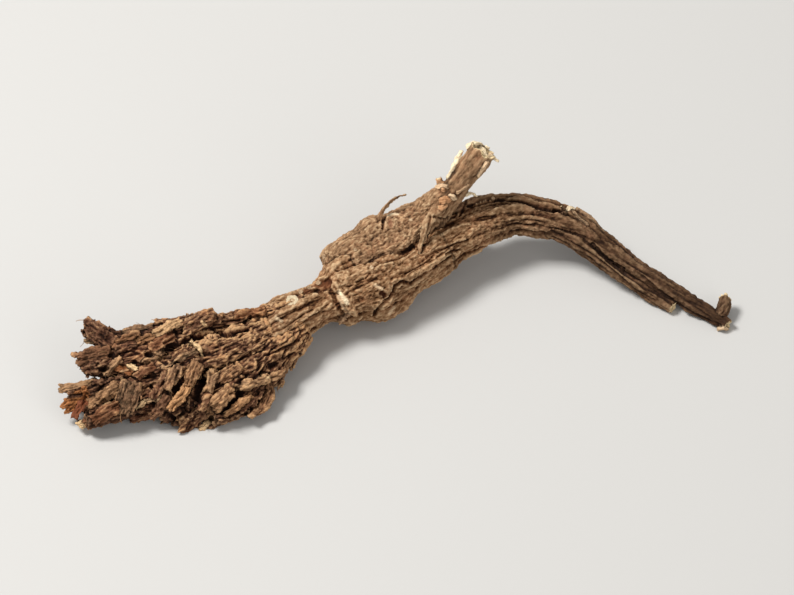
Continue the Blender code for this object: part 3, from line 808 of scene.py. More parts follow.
# The root: swollen body of two lobes, side branch, taproot and its strands. Routes are in millimetres as
# in the solid, each point (x, y, z, radius), away from the crown
root = {
    "voxel": 0.183, "easing": 2, "easeShare": 0.5,
    "parting": 41.0, "overlap": 3,    # how far along the taproot its bark passes from piece to piece
    "taproot": [
        (-27, -9, 7.2, 2.0), (-22.4, -5.6, 7.4, 4.0), (-17, -2, 7.5, 3.9), (-13.4, 0.4, 7.4, 3.8),
        (-12, 1.3, 7.4, 4.4), (-10.6, 2.2, 7.3, 5.5), (-7.6, 3.8, 7.2, 6.0), (-4, 5.6, 7.1, 6.1),
        (3.5, 9.8, 7.7, 4.9), (11, 15, 9, 4.2), (19, 18.4, 9.8, 3.4), (27, 18.4, 9, 2.9),
        (33, 16.6, 7.7, 2.5), (38, 13.6, 6.2, 2.1), (44, 9.6, 4.6, 1.7), (51, 5.1, 3, 1.5),
        (57, 1.2, 2.1, 1.35), (59, -0.4, 1.9, 1.15)],
    "branch": [
        (-11.8, 5.4, 8.3, 1.8), (-10.7, 6.3, 8.6, 3.8), (-9, 7.9, 8.8, 5.1), (-4, 11.2, 8.8, 5.6),
        (1.2, 14.1, 10, 5.0), (5.4, 16.2, 12.8, 3.7), (9.2, 18, 16.4, 2.45), (12.5, 19.8, 20.4, 2.15),
        (15.5, 21.8, 24.2, 2.25)],
    "strand": [
        (25.5, 18.4, 8.8, 2.2), (32.4, 15, 7.2, 1.9), (37.6, 11.5, 5, 1.5), (42, 8.5, 3.5, 1.45),
        (46, 6, 2.4, 1.35), (49.4, 3.6, 2, 1.1)],
    "upperStrand": [
        (9.5, 17, 11.6, 1.1), (14, 19.4, 12.2, 1.15), (19, 20.8, 11.8, 1.1), (24, 21, 11.2, 1.05),
        (29, 20.2, 10.2, 1), (33.6, 17.8, 8.9, 0.9), (38, 15, 7.2, 0.8)],
    "bodyRootlets": [
        [(-3.2, 10.6, 12, 0.65), (-3.3, 13.2, 14.2, 0.45), (-2.6, 15, 15.6, 0.36), (-0.6, 16.5, 17, 0.32),
         (1.8, 17.2, 17.4, 0.24)],
        [(8.2, 15.4, 17.4, 1.1), (6.2, 12.6, 16.6, 0.85), (5.1, 10.8, 15.4, 0.65), (4.5, 9.2, 13.6, 0.5),
         (3.9, 8, 12, 0.42)],
        [(-8, 8, 4.6, 1.4), (-10, 13.4, 3.2, 0.9), (-9.2, 17.4, 3.6, 0.5)],
        [(-14, 0, 5.2, 1.3), (-15.4, 4.2, 3.2, 0.8), (-13.8, 7.4, 2.6, 0.45)]],
    "taprootRootlets": [
        [(57.2, 1.2, 2.6, 1.1), (58.4, 2.9, 3.1, 1.1), (58.7, 4.7, 3.3, 1.05)],
        [(30, 17.6, 9.4, 0.9), (29.6, 18.6, 11.6, 0.5), (29.2, 19, 12.4, 0.3)],
        [(12, 18, 7, 1.2), (12.6, 21, 5, 0.8), (14.2, 23, 4.4, 0.45)]],
    # Broken bits of bark and wood: photo route with lift, width, thickness, tint
    "flakes": [
        ([(504, 313, -0.3), (500, 321, -0.1), (495.5, 330, -0.3)], 0.8, 0.6, (1, 0, 0)),
        ([(507, 311.5, 0), (511.5, 309, 0), (516.5, 309, 0), (520.5, 312, 0)], 0.8, 0.9, (1, 0, 0)),
        ([(515.5, 311, 0), (517.5, 313.5, 0.2), (518.5, 316, 0)], 1.0, 0.5, (0.9, 0.2, 0)),
        ([(522, 315, 0), (518.5, 321, 0.3), (513.5, 328.5, 0.1)], 0.8, 0.7, (0.55, 0.7, 0)),
        ([(521, 316, 0), (524, 318, 0.2), (526.5, 320, 0)], 0.6, 0.5, (0.9, 0.2, 0)),
        ([(495, 336, 0), (492, 332.5, 0.3), (490.5, 328.5, 0.2)], 1.5, 1.2, (0.2, 0.7, 0)),
        ([(496, 334, 0), (492.5, 334, 0.2), (489.5, 333.5, 0)], 1.0, 0.9, (0.45, 0.5, 0)),
        ([(496.5, 341.5, 0), (493.5, 342.5, 0.3), (490.5, 343, 0.1)], 1.4, 0.8, (0.12, 0.6, 0.2)),
        ([(495, 345, 0), (492.5, 346.5, 0.2), (490.5, 347, 0)], 0.8, 0.6, (0.1, 0.4, 0.2)),
        ([(496.5, 339.5, 0), (499, 340.5, 0.3), (500.5, 342, 0.1)], 0.8, 0.6, (0.5, 0.4, 0)),
        ([(501, 338, 0), (504.5, 336.5, 0.2), (508.5, 333, 0)], 0.7, 0.6, (0.25, 0.3, 0)),
        ([(506.5, 340, 0), (509.5, 338.2, 0.3), (514, 340, 0)], 0.55, 0.5, (1, 0, 0)),
        ([(436.5, 409, 0), (434.5, 412, 0.1), (431.5, 414.5, 0)], 1.2, 1.1, (0.2, 0.2, 0.3)),
        ([(656, 419, 0), (659.5, 418, 0.2), (663, 419.5, 0)], 0.8, 0.6, (0.5, 0.4, 0)),
        ([(567, 348.2, 0), (569, 346.8, 0.2), (571.5, 347, 0)], 0.55, 0.5, (0.75, 0.1, 0)),
        ([(570, 348, 0.1), (574.5, 352.5, 0.2), (579.5, 357.5, 0)], 0.45, 0.45, (0.12, 0.1, 0)),
        ([(573, 347.5, -0.2), (581, 353, -0.1), (590, 361.5, -0.3)], 0.8, 0.7, (0.05, 0, 0))],
    # How far along a root its skin is darker, calmer or ridged: (share of its length, value)
    "duskAlong": ((0, 0.35), (0.1, 0.1), (0.16, 0), (0.45, 0), (0.55, 0.5), (0.77, 0.95), (0.9, 1.1),
                  (1, 1.3)),
    "ridgedAlong": ((0, 1), (0.13, 1), (0.18, 0.45), (0.3, 0.6), (0.4, 1), (1, 1)),
    "calmAlong": ((0, 0), (0.52, 0), (0.65, 0.3), (0.8, 0.5), (1, 0.5)),
    "branchSkin": {"ridged": ((0, 0.2), (0.6, 0.3), (0.8, 0.25), (1, 0.3)), "tint": (0.05, 0, 0),
                   "calm": ((0, 0), (0.6, 0.1), (0.75, 0.8), (1, 0.8)),
                   "dusk": ((0, 0), (0.6, 0), (0.8, 0.15), (1, 0.15))},
    "flakeDusk": ((530, 0), (565, 0.7)),    # by the photograph's u
    "relief": {"Ridge Width": 1.9, "Ridge Length": 14.0, "Ridge Depth": 0.7, "Fold Width": 0.5,
               "Fold Length": 1.0, "Fold Depth": 0.45, "Cork Width": 0.7, "Cork Length": 1.0,
               "Cork Depth": 0.2, "Lump Size": 3.5, "Lump Depth": 0.6}}

taprootBit = partial(sweepRoot, root["taproot"], seed=11, waveCounts=(4, 7, 10), waveDepth=0.05,
                     dusk=root["duskAlong"], calm=root["calmAlong"], ridged=root["ridgedAlong"])
rootSkins = {
    "bodyBark": [
        taprootBit(span=(0, root["parting"] + root["overlap"])),
        sweepRoot(root["branch"], seed=12, waveCounts=(5, 8), waveDepth=0.04, hollow=0.3, ragged=0.3,
                  **root["branchSkin"]),
        *[sweepRoot(route, seed=20 + i, waveCounts=(3,), waveDepth=0.1, ridged=0.7, calm=0.3, dusk=0.3)
          for i, route in enumerate(root["bodyRootlets"])]],
    "taprootBark": [
        taprootBit(span=(root["parting"] - root["overlap"], 999)),
        sweepRoot(root["strand"], seed=13, waveCounts=(3, 5), waveDepth=0.08, dusk=0.9, calm=0.5),
        sweepRoot(root["upperStrand"], seed=14, waveCounts=(3, 4), waveDepth=0.08, ridged=0.6, dusk=0.6,
                  calm=0.5),
        *[sweepRoot(route, seed=30 + i, waveCounts=(3,), waveDepth=0.14, ragged=0.5, ridged=0.8, dusk=1,
                    calm=0.2)
          for i, route in enumerate(root["taprootRootlets"])]]}
layFlakes(rootSkins, root["flakes"], seed=100, duskAcross=root["flakeDusk"], ridged=0.3, calm=0.2)
skins = [finishSkin(joinSkins(name + "Sweeps", parts), name, root, driedBark)
         for name, parts in rootSkins.items()]

# The crown: heads set with old leaf bases, as in the solid
crown = {
    "voxel": 0.19, "easing": 2, "easeShare": 0.5, "coreShare": 0.95,
    "heads": {
        "A": [(-17, -1.4, 8.2, 3.1), (-22.5, -4.2, 9, 2.5), (-28.5, -6.4, 9.8, 2.3), (-35, -7.9, 10.5, 2.6),
              (-42, -9.9, 10.4, 2.6), (-48.5, -11, 10, 2.4), (-53.4, -8.6, 9.8, 1.7)],
        "B": [(-32, -10, 8.6, 3.2), (-41, -12.6, 9.2, 3), (-48, -14.2, 9, 2.6), (-52.5, -15, 8.6, 1.9),
              (-55.4, -15.3, 8.3, 1.3)],
        "C": [(-23.5, -6.2, 7.4, 3.9), (-32, -11.2, 8, 4.2), (-41, -15.8, 7.8, 3.4), (-48.5, -18, 6.8, 2.5),
              (-54, -19, 6, 1.7), (-58, -19.2, 5.7, 1.2)],
        "D": [(-24, -7.4, 6.6, 4.2), (-32, -13, 6.2, 4.3), (-39.5, -17.4, 5.8, 3.5), (-46.5, -20.4, 4.9, 2.6),
              (-51.5, -22.4, 4.2, 1.9), (-54.6, -23.8, 3.8, 1.2)],
        "E": [(-20.5, -6, 5.8, 3.9), (-27, -12.2, 5.2, 4.2), (-32.5, -17, 4.8, 3.7), (-37.5, -19.8, 4, 2.9),
              (-42, -21.4, 3.4, 2)],
        "F": [(-17.5, -4.4, 6, 3.2), (-21.6, -10, 5.4, 3.4), (-24.6, -14.6, 4.9, 3.3), (-28.4, -18.6, 4.3, 3),
              (-33, -22, 3.3, 2)],
        "G": [(-21, -3.8, 6.4, 3.9), (-30, -6.4, 5.6, 4), (-38, -9.2, 4.8, 3.6), (-45, -11.8, 4.5, 3),
              (-50.5, -14, 4.2, 2.1)]},
    "pieces": {"crownUpper": "AB", "crownMiddle": "CG", "crownLower": "DEF"},
    # Where along a head leaf bases stand, and how dark it is: (share of its length, value)
    "based": ((0.1, 0), (0.35, 1), (0.9, 1), (0.95, 0)),
    "dusk": ((0, -0.7), (0.2, -0.4), (0.45, 0), (0.9, 0.6)),
    "shownDusk": ((272, 0.6), (318, 0.4), (350, 0.1)),    # by the photograph's u
    "scatter": {"Spacing": 1.7, "Lift": 0.05, "Sway": 0.35, "Smallest": 0.6, "Largest": 1.1, "Sunk": 0.35,
                "Seed": 4, "Shown Side": tuple(towardsCamera)},
    "relief": {"Ridge Width": 1.3, "Ridge Length": 6.0, "Ridge Depth": 0.6, "Fold Width": 0.42,
               "Fold Length": 1.4, "Fold Depth": 0.55, "Cork Width": 0.5, "Cork Length": 0.9,
               "Cork Depth": 0.18, "Lump Size": 1.9, "Lump Depth": 0.9, "Hole Size": 1.5, "Hole Depth": 0.6},
    # Shapes of leaf base, in millimetres: (length, width, thickness, curl, widths from foot to tip)
    "shapes": [(3.4, 1.7, 1.2, 0.2, (0.8, 1, 1, 0.75)), (2.8, 2.1, 1.1, 0.1, (0.9, 1, 1.1, 0.9)),
               (4.0, 1.2, 0.9, 0.3, (0.8, 1, 0.8, 0.35)), (2.2, 1.8, 1.5, 0.1, (1, 1.1, 1, 0.7)),
               (3.2, 2.4, 0.9, -0.2, (0.7, 1, 1, 0.8)), (3.0, 1.0, 1.0, 0.4, (1, 0.9, 0.8, 0.6)),
               (2.6, 1.9, 1.3, 0.3, (1, 1, 0.85, 0.5)), (4.4, 1.4, 0.9, 0.1, (0.7, 1, 0.9, 0.3))],
    # Leaf bases that the photograph shows one by one: photo route from foot to tip with lift, width,
    # thickness, tint
    "shown": [
        # the upper head
        ([(359, 410, 0), (349, 414, 0.7), (340, 420, 0.3)], 2.9, 1.6, (0, 0, 0)),
        ([(339, 414, 0.2), (331, 417.5, 0.8), (322, 423, 0.3)], 1.7, 1.1, (0.45, 0.35, 0)),
        ([(326, 421.5, 0.2), (319, 424, 0.7), (312, 427, 0.2)], 1.2, 1.0, (0.1, 0.25, 0)),
        ([(335, 422, 0), (328, 426.5, 0.7), (320, 430, 0.2)], 2.0, 1.3, (0, 0.1, 0.2)),
        ([(322, 416.5, 0), (313, 418.5, 0.5), (305, 421, 0)], 1.3, 1.0, (0.1, 0, 0)),
        ([(315, 421, 0.1), (308, 423.5, 0.6), (302, 426.5, 0.1)], 1.3, 1.0, (0.05, 0.15, 0)),
        ([(313, 427, 0), (306, 428.5, 0.5), (300, 431, 0.1)], 1.7, 1.2, (0, 0, 0)),
        ([(299, 428, 0), (290, 421.5, 0.6), (282, 415.5, 0.2)], 3.6, 2.6, (0, 0, 0)),
        ([(290, 424.5, 0), (286, 426, 0.5), (282, 425, 0.1)], 1.0, 0.9, (0.3, 0, 0)),
        ([(298, 432.5, 0), (288, 434, 0.6), (276.5, 437, 0.2)], 2.9, 2.0, (0.05, 0.05, 0.15)),
        ([(293, 438, 0), (287, 441, 0.4), (281, 443.5, 0)], 1.5, 1.2, (0, 0, 0.1)),
        ([(304, 436, 0.1), (299, 440, 0.6), (294, 445.5, 0.2)], 1.2, 1.0, (0.15, 0.05, 0.1)),
        ([(299, 436, 0), (291, 440.5, 0.6), (283, 447, 0.2)], 0.9, 0.8, (0, 0, 0)),
        ([(331, 431, 0), (324, 434, 0.5), (317, 438.5, 0.1)], 1.3, 1.0, (0.1, 0, 0)),
        ([(311, 445, 0.1), (305, 442.5, 0.6), (300, 440.5, 0.2)], 1.5, 1.0, (0, 0.35, 0.3)),
        ([(314.5, 442, 0.2), (311, 441, 0.6), (308, 440.2, 0.3)], 1.2, 0.9, (1, 0.1, 0)),
        ([(324, 440, 0), (318, 443.5, 0.5), (313, 447, 0.1)], 1.5, 1.1, (0, 0.08, 0.2)),
        ([(388, 407.5, 0), (380, 409, 0.5), (370, 411, 0.1)], 1.8, 1.2, (0, 0.15, 0.15)),
        # the middle
        ([(348, 431, 0.2), (338, 436, 0.8), (328, 441.5, 0.3)], 0.9, 0.9, (0.15, 0, 0)),
        ([(339, 440, 0.3), (335, 447, 1.0), (331, 456, 0.5)], 2.4, 1.6, (0.1, 0, 0.1)),
        ([(349, 438, 0.3), (346.5, 445, 1.0), (344, 452, 0.7)], 2.7, 1.7, (0.1, 0.14, 0)),
        ([(344, 451, 0.4), (339.5, 458, 1.1), (332, 466, 0.7)], 1.8, 1.4, (0.3, 0.65, 0)),
        ([(362, 444, 0.3), (357, 447, 0.8), (354.5, 455, 0.3)], 2.4, 1.3, (0.1, 0, 0)),
        ([(373, 440, 0.1), (367, 444, 0.6), (361, 449, 0.2)], 2.5, 1.3, (0.06, 0.05, 0)),
        ([(331, 445, 0), (327, 453, 0.7), (322, 460, 0.2)], 1.6, 1.2, (0, 0, 0.1)),
        ([(332, 457, 0.2), (328, 464, 0.8), (321, 471, 0.4)], 1.8, 1.3, (0.05, 0, 0.25)),
        ([(319, 460.5, 0.2), (316, 463, 0.5), (313, 465, 0.2)], 0.8, 0.7, (0.5, 0, 0)),
        ([(328, 457, 0.2), (324, 459.5, 0.5), (319, 461, 0.1)], 0.8, 0.8, (0.3, 0, 0.1)),
        ([(309, 447, 0.3), (314, 453, 0.7), (317, 460, 0.3)], 0.7, 0.7, (0, 0, 0.1)),
        # the left end
        ([(289, 450, 0), (278, 452, 0.6), (266.5, 453.5, 0.4)], 1.8, 1.6, (0.3, 0.15, 0.4)),
        ([(285, 455, 0.1), (277, 461, 0.7), (270, 466, 0.4)], 3.2, 0.8, (0.03, 0.6, 0.3)),
        ([(283, 460, 0.1), (280, 465, 0.3), (277, 471, 0.1)], 1.7, 0.8, (0, 0.1, 0.9)),
        ([(303, 452, 0.3), (295, 457, 0.9), (286, 463, 0.6)], 2.4, 1.6, (0.15, 0.15, 0.1)),
        ([(311, 449, 0.4), (308.5, 458, 1.1), (305, 468, 0.6)], 4.1, 1.0, (0.08, 0, 0)),
        ([(303, 462.5, 0.1), (293, 469, 0.6), (284, 474, 0.3)], 2.3, 1.6, (0, 0.1, 0.1)),
        ([(288, 471, 0.5), (283.5, 473.5, 0.7), (279, 475.5, 0.4)], 1.5, 1.2, (0.9, 0.1, 0)),
        ([(301, 460.5, 0.2), (297, 463, 0.6), (293, 465, 0.3)], 1.0, 0.9, (0.25, 0.1, 0)),
        # below
        ([(323, 467, 0.2), (316, 470.5, 0.5), (308.5, 472, 0.1)], 1.5, 1.2, (0, 0, 0.3)),
        ([(352, 465, 0), (345, 471, 0.6), (338, 477.5, 0.2)], 4.2, 2.2, (0, 0, 0)),
        ([(355.5, 473, 0.3), (352.5, 475.8, 0.6), (349.5, 478.5, 0.3)], 1.0, 0.9, (0.75, 0.2, 0)),
        ([(369, 454, 0.3), (362, 461, 1.1), (355, 467, 0.7)], 2.7, 1.7, (0.12, 0.15, 0)),
        ([(357, 457, 0.2), (352.5, 462, 0.6), (348, 467, 0.2)], 1.5, 1.2, (0, 0, 0.1)),
        ([(381, 457, 0.1), (373, 463, 0.6), (364, 469.5, 0.3)], 1.3, 1.1, (0.15, 0.3, 0)),
        ([(388, 446, 0), (391, 455, 0.5), (388.5, 463, 0.6), (379, 470, 0.3)], 1.9, 1.7, (0.05, 0.1, 0)),
        ([(390, 447, 0), (381, 450, 0.6), (371, 453.5, 0.4)], 2.0, 1.5, (0.15, 0.05, 0)),
        ([(386, 455, 0), (381.5, 462, 0.4), (374, 468, 0.2)], 1.0, 1.0, (0, 0, 0.15)),
        ([(377, 468, 0), (368, 471, 0.5), (360, 472.5, 0.2)], 1.3, 1.1, (0.05, 0, 0.1)),
        ([(374, 449, 0.1), (368.5, 454, 0.6), (364.5, 460, 0.3)], 1.5, 1.2, (0, 0, 0.1)),
        ([(401, 443, 0), (396, 446, 0.3), (390, 448, 0.1)], 1.2, 1.0, (0.1, 0.1, 0)),
        ([(343.5, 426, 0.9), (347.5, 427.5, 1.5), (350.3, 430.3, 1.4), (352, 434.5, 0.2)], 0.4, 0.36,
         (0.85, 0.1, 0))],
}


def buildScatterTree():
    # Sets leaf bases over the heads, tips towards the free end of the head that they stand on, and fewer
    # of them on the shown side, where the photograph's own ones lie
    tree = newTree("leafBaseScatter", {
        "Shapes": "Collection", "Spacing": 2.5, "Lift": 0.28, "Sway": 0.3, "Smallest": 0.65, "Largest": 1.3,
        "Sunk": 0.35, "Most": 900000.0, "Shown Share": 0.1, "Seed": 4, "Size Seed": 8, "Tone Seed": 15,
        "Shown Side": "Vector", "Ground": True, "Material": "Material"})
    add = partial(addNode, tree)
    given = add("NodeGroupInput").outputs
    based, heading = (add("GeometryNodeInputNamedAttribute", {"Name": field}, data_type=fieldKind(field))
                      for field in ("based", "heading"))
    apart = add("Math", [given["Spacing"], mm], "MULTIPLY")
    shown = add("VectorMath", [add("GeometryNodeInputNormal"), given["Shown Side"]],
                operation="DOT_PRODUCT").outputs["Value"]
    unseen = add("MapRange", [shown, -0.15, 0.3, 1.0, given["Shown Share"]])
    density = add("Math", [based, unseen], "MULTIPLY")
    scattered = add("GeometryNodeDistributePointsOnFaces", {
        "Mesh": given["Geometry"], "Distance Min": apart, "Density Max": given["Most"],
        "Density Factor": density, "Seed": given["Seed"]}, distribute_method="POISSON")
    normal = scattered.outputs["Normal"]
    up = add("VectorMath", {"Vector": normal, "Scale": given["Lift"]}, "SCALE")
    loose = add("FunctionNodeRandomValue", {"Min": (-1.0,) * 3, "Max": (1.0,) * 3, "Seed": given["Seed"]},
                data_type="FLOAT_VECTOR")
    swayed = add("VectorMath", {"Vector": loose, "Scale": given["Sway"]}, "SCALE")
    lifted = add("VectorMath", [heading, up])
    aimed = add("VectorMath", [lifted, swayed])
    turned = add("FunctionNodeAxesToRotation", {"Primary Axis": aimed, "Secondary Axis": normal},
                 primary_axis="X", secondary_axis="Z")
    size = add("FunctionNodeRandomValue", {"Min": given["Smallest"], "Max": given["Largest"],
                                           "Seed": given["Size Seed"]}, data_type="FLOAT")
    shapes = add("GeometryNodeCollectionInfo", {"Collection": given["Shapes"], "Separate Children": True,
                                                "Reset Children": True})
    deep = add("Math", [given["Sunk"], -mm], "MULTIPLY")
    inward = add("VectorMath", {"Vector": normal, "Scale": deep}, "SCALE")
    seated = add("GeometryNodeSetPosition", {"Geometry": scattered, "Offset": inward})
    placed = add("GeometryNodeInstanceOnPoints", {"Points": seated, "Instance": shapes, "Pick Instance": True,
                                                  "Rotation": turned, "Scale": size})
    tone = add("FunctionNodeRandomValue", {"Min": 0.0, "Max": 1.0, "Seed": given["Tone Seed"]},
               data_type="FLOAT")
    toned = add("GeometryNodeStoreNamedAttribute", {"Geometry": placed, "Name": "tone", "Value": tone},
                data_type="FLOAT", domain="INSTANCE")
    bases = add("GeometryNodeRealizeInstances", [toned])
    both = add("GeometryNodeJoinGeometry", [bases])
    tree.links.new(given["Geometry"], both.inputs[0])
    chosen = add("GeometryNodeSwitch", {"Switch": given["Ground"], "False": bases, "True": both},
                 input_type="GEOMETRY")
    finished = add("GeometryNodeSetMaterial", {"Geometry": chosen, "Material": given["Material"]})
    add("NodeGroupOutput", [finished])
    return tree


def shapeCollection(name, flakes):
    # A hidden collection of shapes to scatter; each takes its tone, dusk and heading from where it is set
    shapes = bpy.data.collections.new(name)
    for flake in flakes:
        shape = joinSkins(name, [flake])
        for field in ("tone", "dusk", "heading"):
            shape.data.attributes.remove(shape.data.attributes[field])
        bpy.context.scene.collection.objects.unlink(shape)
        shapes.objects.link(shape)
    return shapes


leafShapes = shapeCollection("leafBaseShapes", [
    looseFlake([(-0.8, 0, 0), (length * 0.3, 0, 0.1), (length * 0.7, 0, curl * 0.4), (length, 0, curl)],
               width, thickness, facing=(0, 0, 1), seed=60 + i, sections=6, sides=8, taper=taper)
    for i, (length, width, thickness, curl, taper) in enumerate(crown["shapes"])])
scatterTree = buildScatterTree()
crownHead = partial(sweepRoot, waveCounts=(3, 5), waveDepth=0.1, lump=0.12, shrink=crown["coreShare"],
                    based=crown["based"], dusk=crown["dusk"])
crownSkins = {name: [crownHead(crown["heads"][letter], seed=70 + ord(letter)) for letter in letters]
              for name, letters in crown["pieces"].items()}
layFlakes(crownSkins, crown["shown"], seed=200, duskAcross=crown["shownDusk"], lifted=0.7, jag=0.8)
for name, parts in crownSkins.items():
    source = joinSkins(name + "Heads", parts)
    applyTree(source, scatterTree, {"Shapes": leafShapes, "Material": leafBaseFibre, **crown["scatter"]})
    skins.append(finishSkin(source, name, crown, leafBaseFibre))

# Thin fibres of torn leaf bases that stand off the crown
fibres = {
    "scatter": {"Spacing": 3.1, "Lift": 0.35, "Sway": 0.8, "Smallest": 0.4, "Largest": 0.9, "Sunk": 0.1,
                "Seed": 21, "Shown Side": (0, 0, 0), "Ground": False},
    # (length, thickness, bend) in millimetres
    "shapes": [(2.6, 0.17, 0.7), (3.1, 0.15, -0.8), (1.7, 0.2, 0.3), (2.2, 0.16, -0.5)],
    "taper": (1, 1, 0.8, 0.5), "tint": (0.2, 0.25, 0)}
fibreShapes = shapeCollection("fibreShapes", [
    looseFlake([(-0.3, 0, 0), (length * 0.35, 0, 0.15), (length * 0.7, bend * 0.4, 0.2), (length, bend, 0)],
               thickness, thickness, facing=(0, 0, 1), seed=90 + i, sections=6, sides=5,
               taper=fibres["taper"], tint=fibres["tint"])
    for i, (length, thickness, bend) in enumerate(fibres["shapes"])])
grown = []
for skin in skins[-len(crownSkins):]:
    strands = bpy.data.objects.new(skin.name + "Fibres", skin.data.copy())
    bpy.context.scene.collection.objects.link(strands)
    storeField(strands.data, "based", np.ones(len(strands.data.vertices)))
    applyTree(strands, scatterTree, {"Shapes": fibreShapes, "Material": leafBaseFibre, **fibres["scatter"]})
    grown.append(strands)
with bpy.context.temp_override(active_object=grown[0], selected_editable_objects=grown):
    bpy.ops.object.join()
crownFibres = grown[0]
crownFibres.name = "crownFibres"
fitInside(crownFibres)
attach(crownFibres, "root")
print(crownFibres.name, "made:", len(crownFibres.data.polygons), "faces")
for shapes in (leafShapes, fibreShapes):
    for shape in list(shapes.objects):
        bpy.data.objects.remove(shape)
    bpy.data.collections.remove(shapes)

# Scars and stumps of shed rootlets
bark, pale, orange = (0, 0, 0), (1, 0, 0), (0.45, 0.5, 0)
scars = {
    # From the foot in: (reach, height, tint), in shares of the radius
    "round": [(1.05, -0.8, bark), (1.1, 0.0, bark), (1.04, 0.2, orange), (0.94, 0.3, pale),
              (0.72, 0.26, pale), (0.5, 0.24, pale), (0.36, 0.14, orange), (0.22, 0.1, orange),
              (0.08, 0.16, pale)],
    "stump": [(1.1, -1.4, bark), (1.15, 0.0, bark), (0.95, 0.5, bark), (0.8, 0.72, orange),
              (0.5, 0.66, orange), (0.15, 0.5, orange)],
    "sunk": {"round": 0.12, "stump": 0.1}, "sides": 22, "boxMargin": 0.3,
    # How much its outline, each of its rings and its height vary, and how coarse its grain is
    "uneven": (0.88, 1.12), "ringUneven": (0.95, 1.05), "heightUneven": (0.8, 1.2), "grain": (3, 4),
    # (photo u, v, radius in millimetres, kind)
    "shown": [(404, 402, 1.1, "round"), (409, 397, 0.45, "stump"), (414, 394.5, 0.45, "stump"),
              (419.5, 391.5, 0.5, "stump"), (441, 372, 0.35, "stump"), (523, 341, 0.35, "stump")],
    # (x, y, z, radius, kind) near the surface, on the sides that the photograph doesn't show
    "unseen": [(-6, 14, 3, 0.9, "round"), (6, 16, 5, 0.6, "stump"), (20, 22, 8, 0.5, "stump"),
               (-16, 2, 3.4, 0.7, "stump"), (-4, 14, 5.5, 0.6, "round"), (33, 19, 6, 0.5, "stump"),
               (2, 18, 9, 0.6, "round"), (-12, 8, 11, 0.5, "stump")]}


def scarSkin(centre, outward, radius, kind, seed):
    # The round scar or stump of a shed rootlet as a closed skin
    rng = random.Random(seed)
    profile, sides = scars[kind], scars["sides"]
    side = np.cross(outward, (0.3, 0.5, 0.8))
    side /= np.linalg.norm(side)
    turns = np.linspace(0, 2 * math.pi, sides, endpoint=False)
    circle = np.cos(turns)[:, None] * side + np.sin(turns)[:, None] * np.cross(outward, side)
    uneven = randomEach(rng, *scars["uneven"], sides)
    wide, high = scars["grain"]
    rings, grain = [], []
    for reach, height, _ in profile:
        rough = uneven * randomEach(rng, *scars["ringUneven"], sides)
        lift = (height * randomEach(rng, *scars["heightUneven"], sides) * radius)[:, None] * outward
        rings.append(centre + circle * (reach * radius * rough)[:, None] + lift)
        grain.append(np.stack([reach * radius * np.cos(turns) * wide, reach * radius * np.sin(turns) * wide,
                               np.full(sides, height * radius * high)], 1))
    tints = np.array([tint for _, _, tint in profile], float)
    skin = loftSkin(np.array(rings), np.array(grain), {"tint": tints, "wood": 0, "tone": rng.random()}, 0)
    skin["verts"] = keepInside(skin["verts"], scars["boxMargin"])
    return skin


graph = bpy.context.evaluated_depsgraph_get()
surfaces = [BVHTree.FromObject(skin, graph) for skin in skins]
scarSkins = []
for i, (u, v, radius, kind) in enumerate(scars["shown"]):
    met = [photoTouch(surface, u, v) for surface in surfaces]
    place, outward, _, _ = min(met, key=lambda found: (found[3] > 0.3, -found[0] @ towardsCamera))
    outward = outward * 0.5 + towardsCamera * 0.6 + (0, 0, 0.1)    # turned a little towards the camera
    outward /= np.linalg.norm(outward)
    centre = place - outward * radius * scars["sunk"][kind]
    scarSkins.append(scarSkin(centre, outward, radius, kind, seed=300 + i))
for i, (x, y, z, radius, kind) in enumerate(scars["unseen"]):
    spot = (Vector((x, y, z)) + Vector(view["origin"])) * mm
    nearest = [surface.find_nearest(spot) for surface in surfaces]
    place, outward, _, _ = min(nearest, key=lambda found: found[3])
    scarSkins.append(scarSkin(np.array(place) / mm, np.array(outward), radius, kind, seed=320 + i))
shedScars = joinSkins("shedScars", scarSkins)
# The scars stand out: their cavity and relief give them painted highlight and no painted shade
for field, value in (("relief", 1.0), ("cavity", 0.05)):
    storeField(shedScars.data, field, np.full(len(shedScars.data.vertices), value))
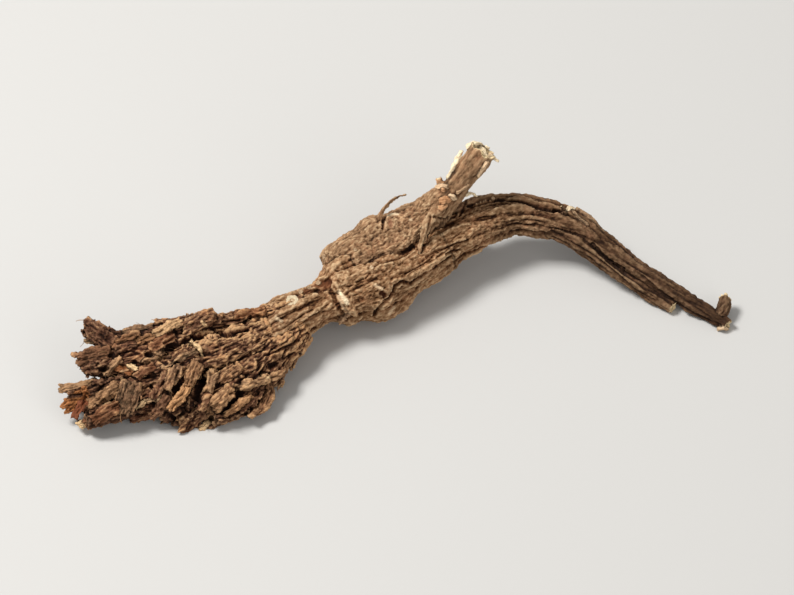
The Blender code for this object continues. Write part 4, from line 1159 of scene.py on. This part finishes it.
shedScars.data.materials.append(driedBark)
shedScars.data.shade_smooth()
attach(shedScars, "root")
print(shedScars.name, "made:", len(shedScars.data.polygons), "faces")

# Floor, light and camera, in metres
stage = {"floor": "#bcbab6", "floorSize": 4, "floorRoughness": 0.9, "key": (-0.42, 0.08, 0.72),
         "keyPower": 8.6, "keySize": 0.25, "fill": (0.5, -0.55, 0.4), "fillPower": 2.0, "fillSize": 0.6,
         "world": 0.42}

bpy.ops.mesh.primitive_grid_add(x_subdivisions=2, y_subdivisions=2, size=stage["floorSize"])
floor = bpy.context.object
floor.name = "floor"
floorPaper = bpy.data.materials.new("matPaper")    # smooth matt paper, even and pale
floorPaper.use_nodes = True
paperShader = floorPaper.node_tree.nodes["Principled BSDF"]
paperShader.inputs["Base Color"].default_value = linearColour(stage["floor"])
paperShader.inputs["Roughness"].default_value = stage["floorRoughness"]
floor.data.materials.append(floorPaper)

target = Vector(view["target"])
for name in ("key", "fill"):
    lamp = bpy.data.lights.new(name + "Light", "AREA")
    lamp.energy = stage[name + "Power"]
    lamp.size = stage[name + "Size"]
    light = bpy.data.objects.new(name + "Light", lamp)
    light.location = stage[name]
    light.rotation_euler = (target - light.location).to_track_quat("-Z", "Y").to_euler()
    bpy.context.scene.collection.objects.link(light)
sky = bpy.data.worlds.new("studio")
sky.use_nodes = True
sky.node_tree.nodes["Background"].inputs["Color"].default_value = (1, 1, 1, 1)
sky.node_tree.nodes["Background"].inputs["Strength"].default_value = stage["world"]
bpy.context.scene.world = sky

lens = bpy.data.cameras.new("studioCamera")
lens.lens = view["lens"]
lens.sensor_width = view["sensor"]
distance = view["shownWidth"] / 2 / (lens.sensor_width / 2 / lens.lens)
camera = bpy.data.objects.new("studioCamera", lens)
camera.location = target + Vector(towardsCamera) * distance
camera.rotation_euler = (math.pi / 2 - view["elevation"], 0, 0)
bpy.context.scene.collection.objects.link(camera)
bpy.context.scene.camera = camera
bpy.context.scene.view_settings.view_transform = "Standard"
print("floor, light and camera set")
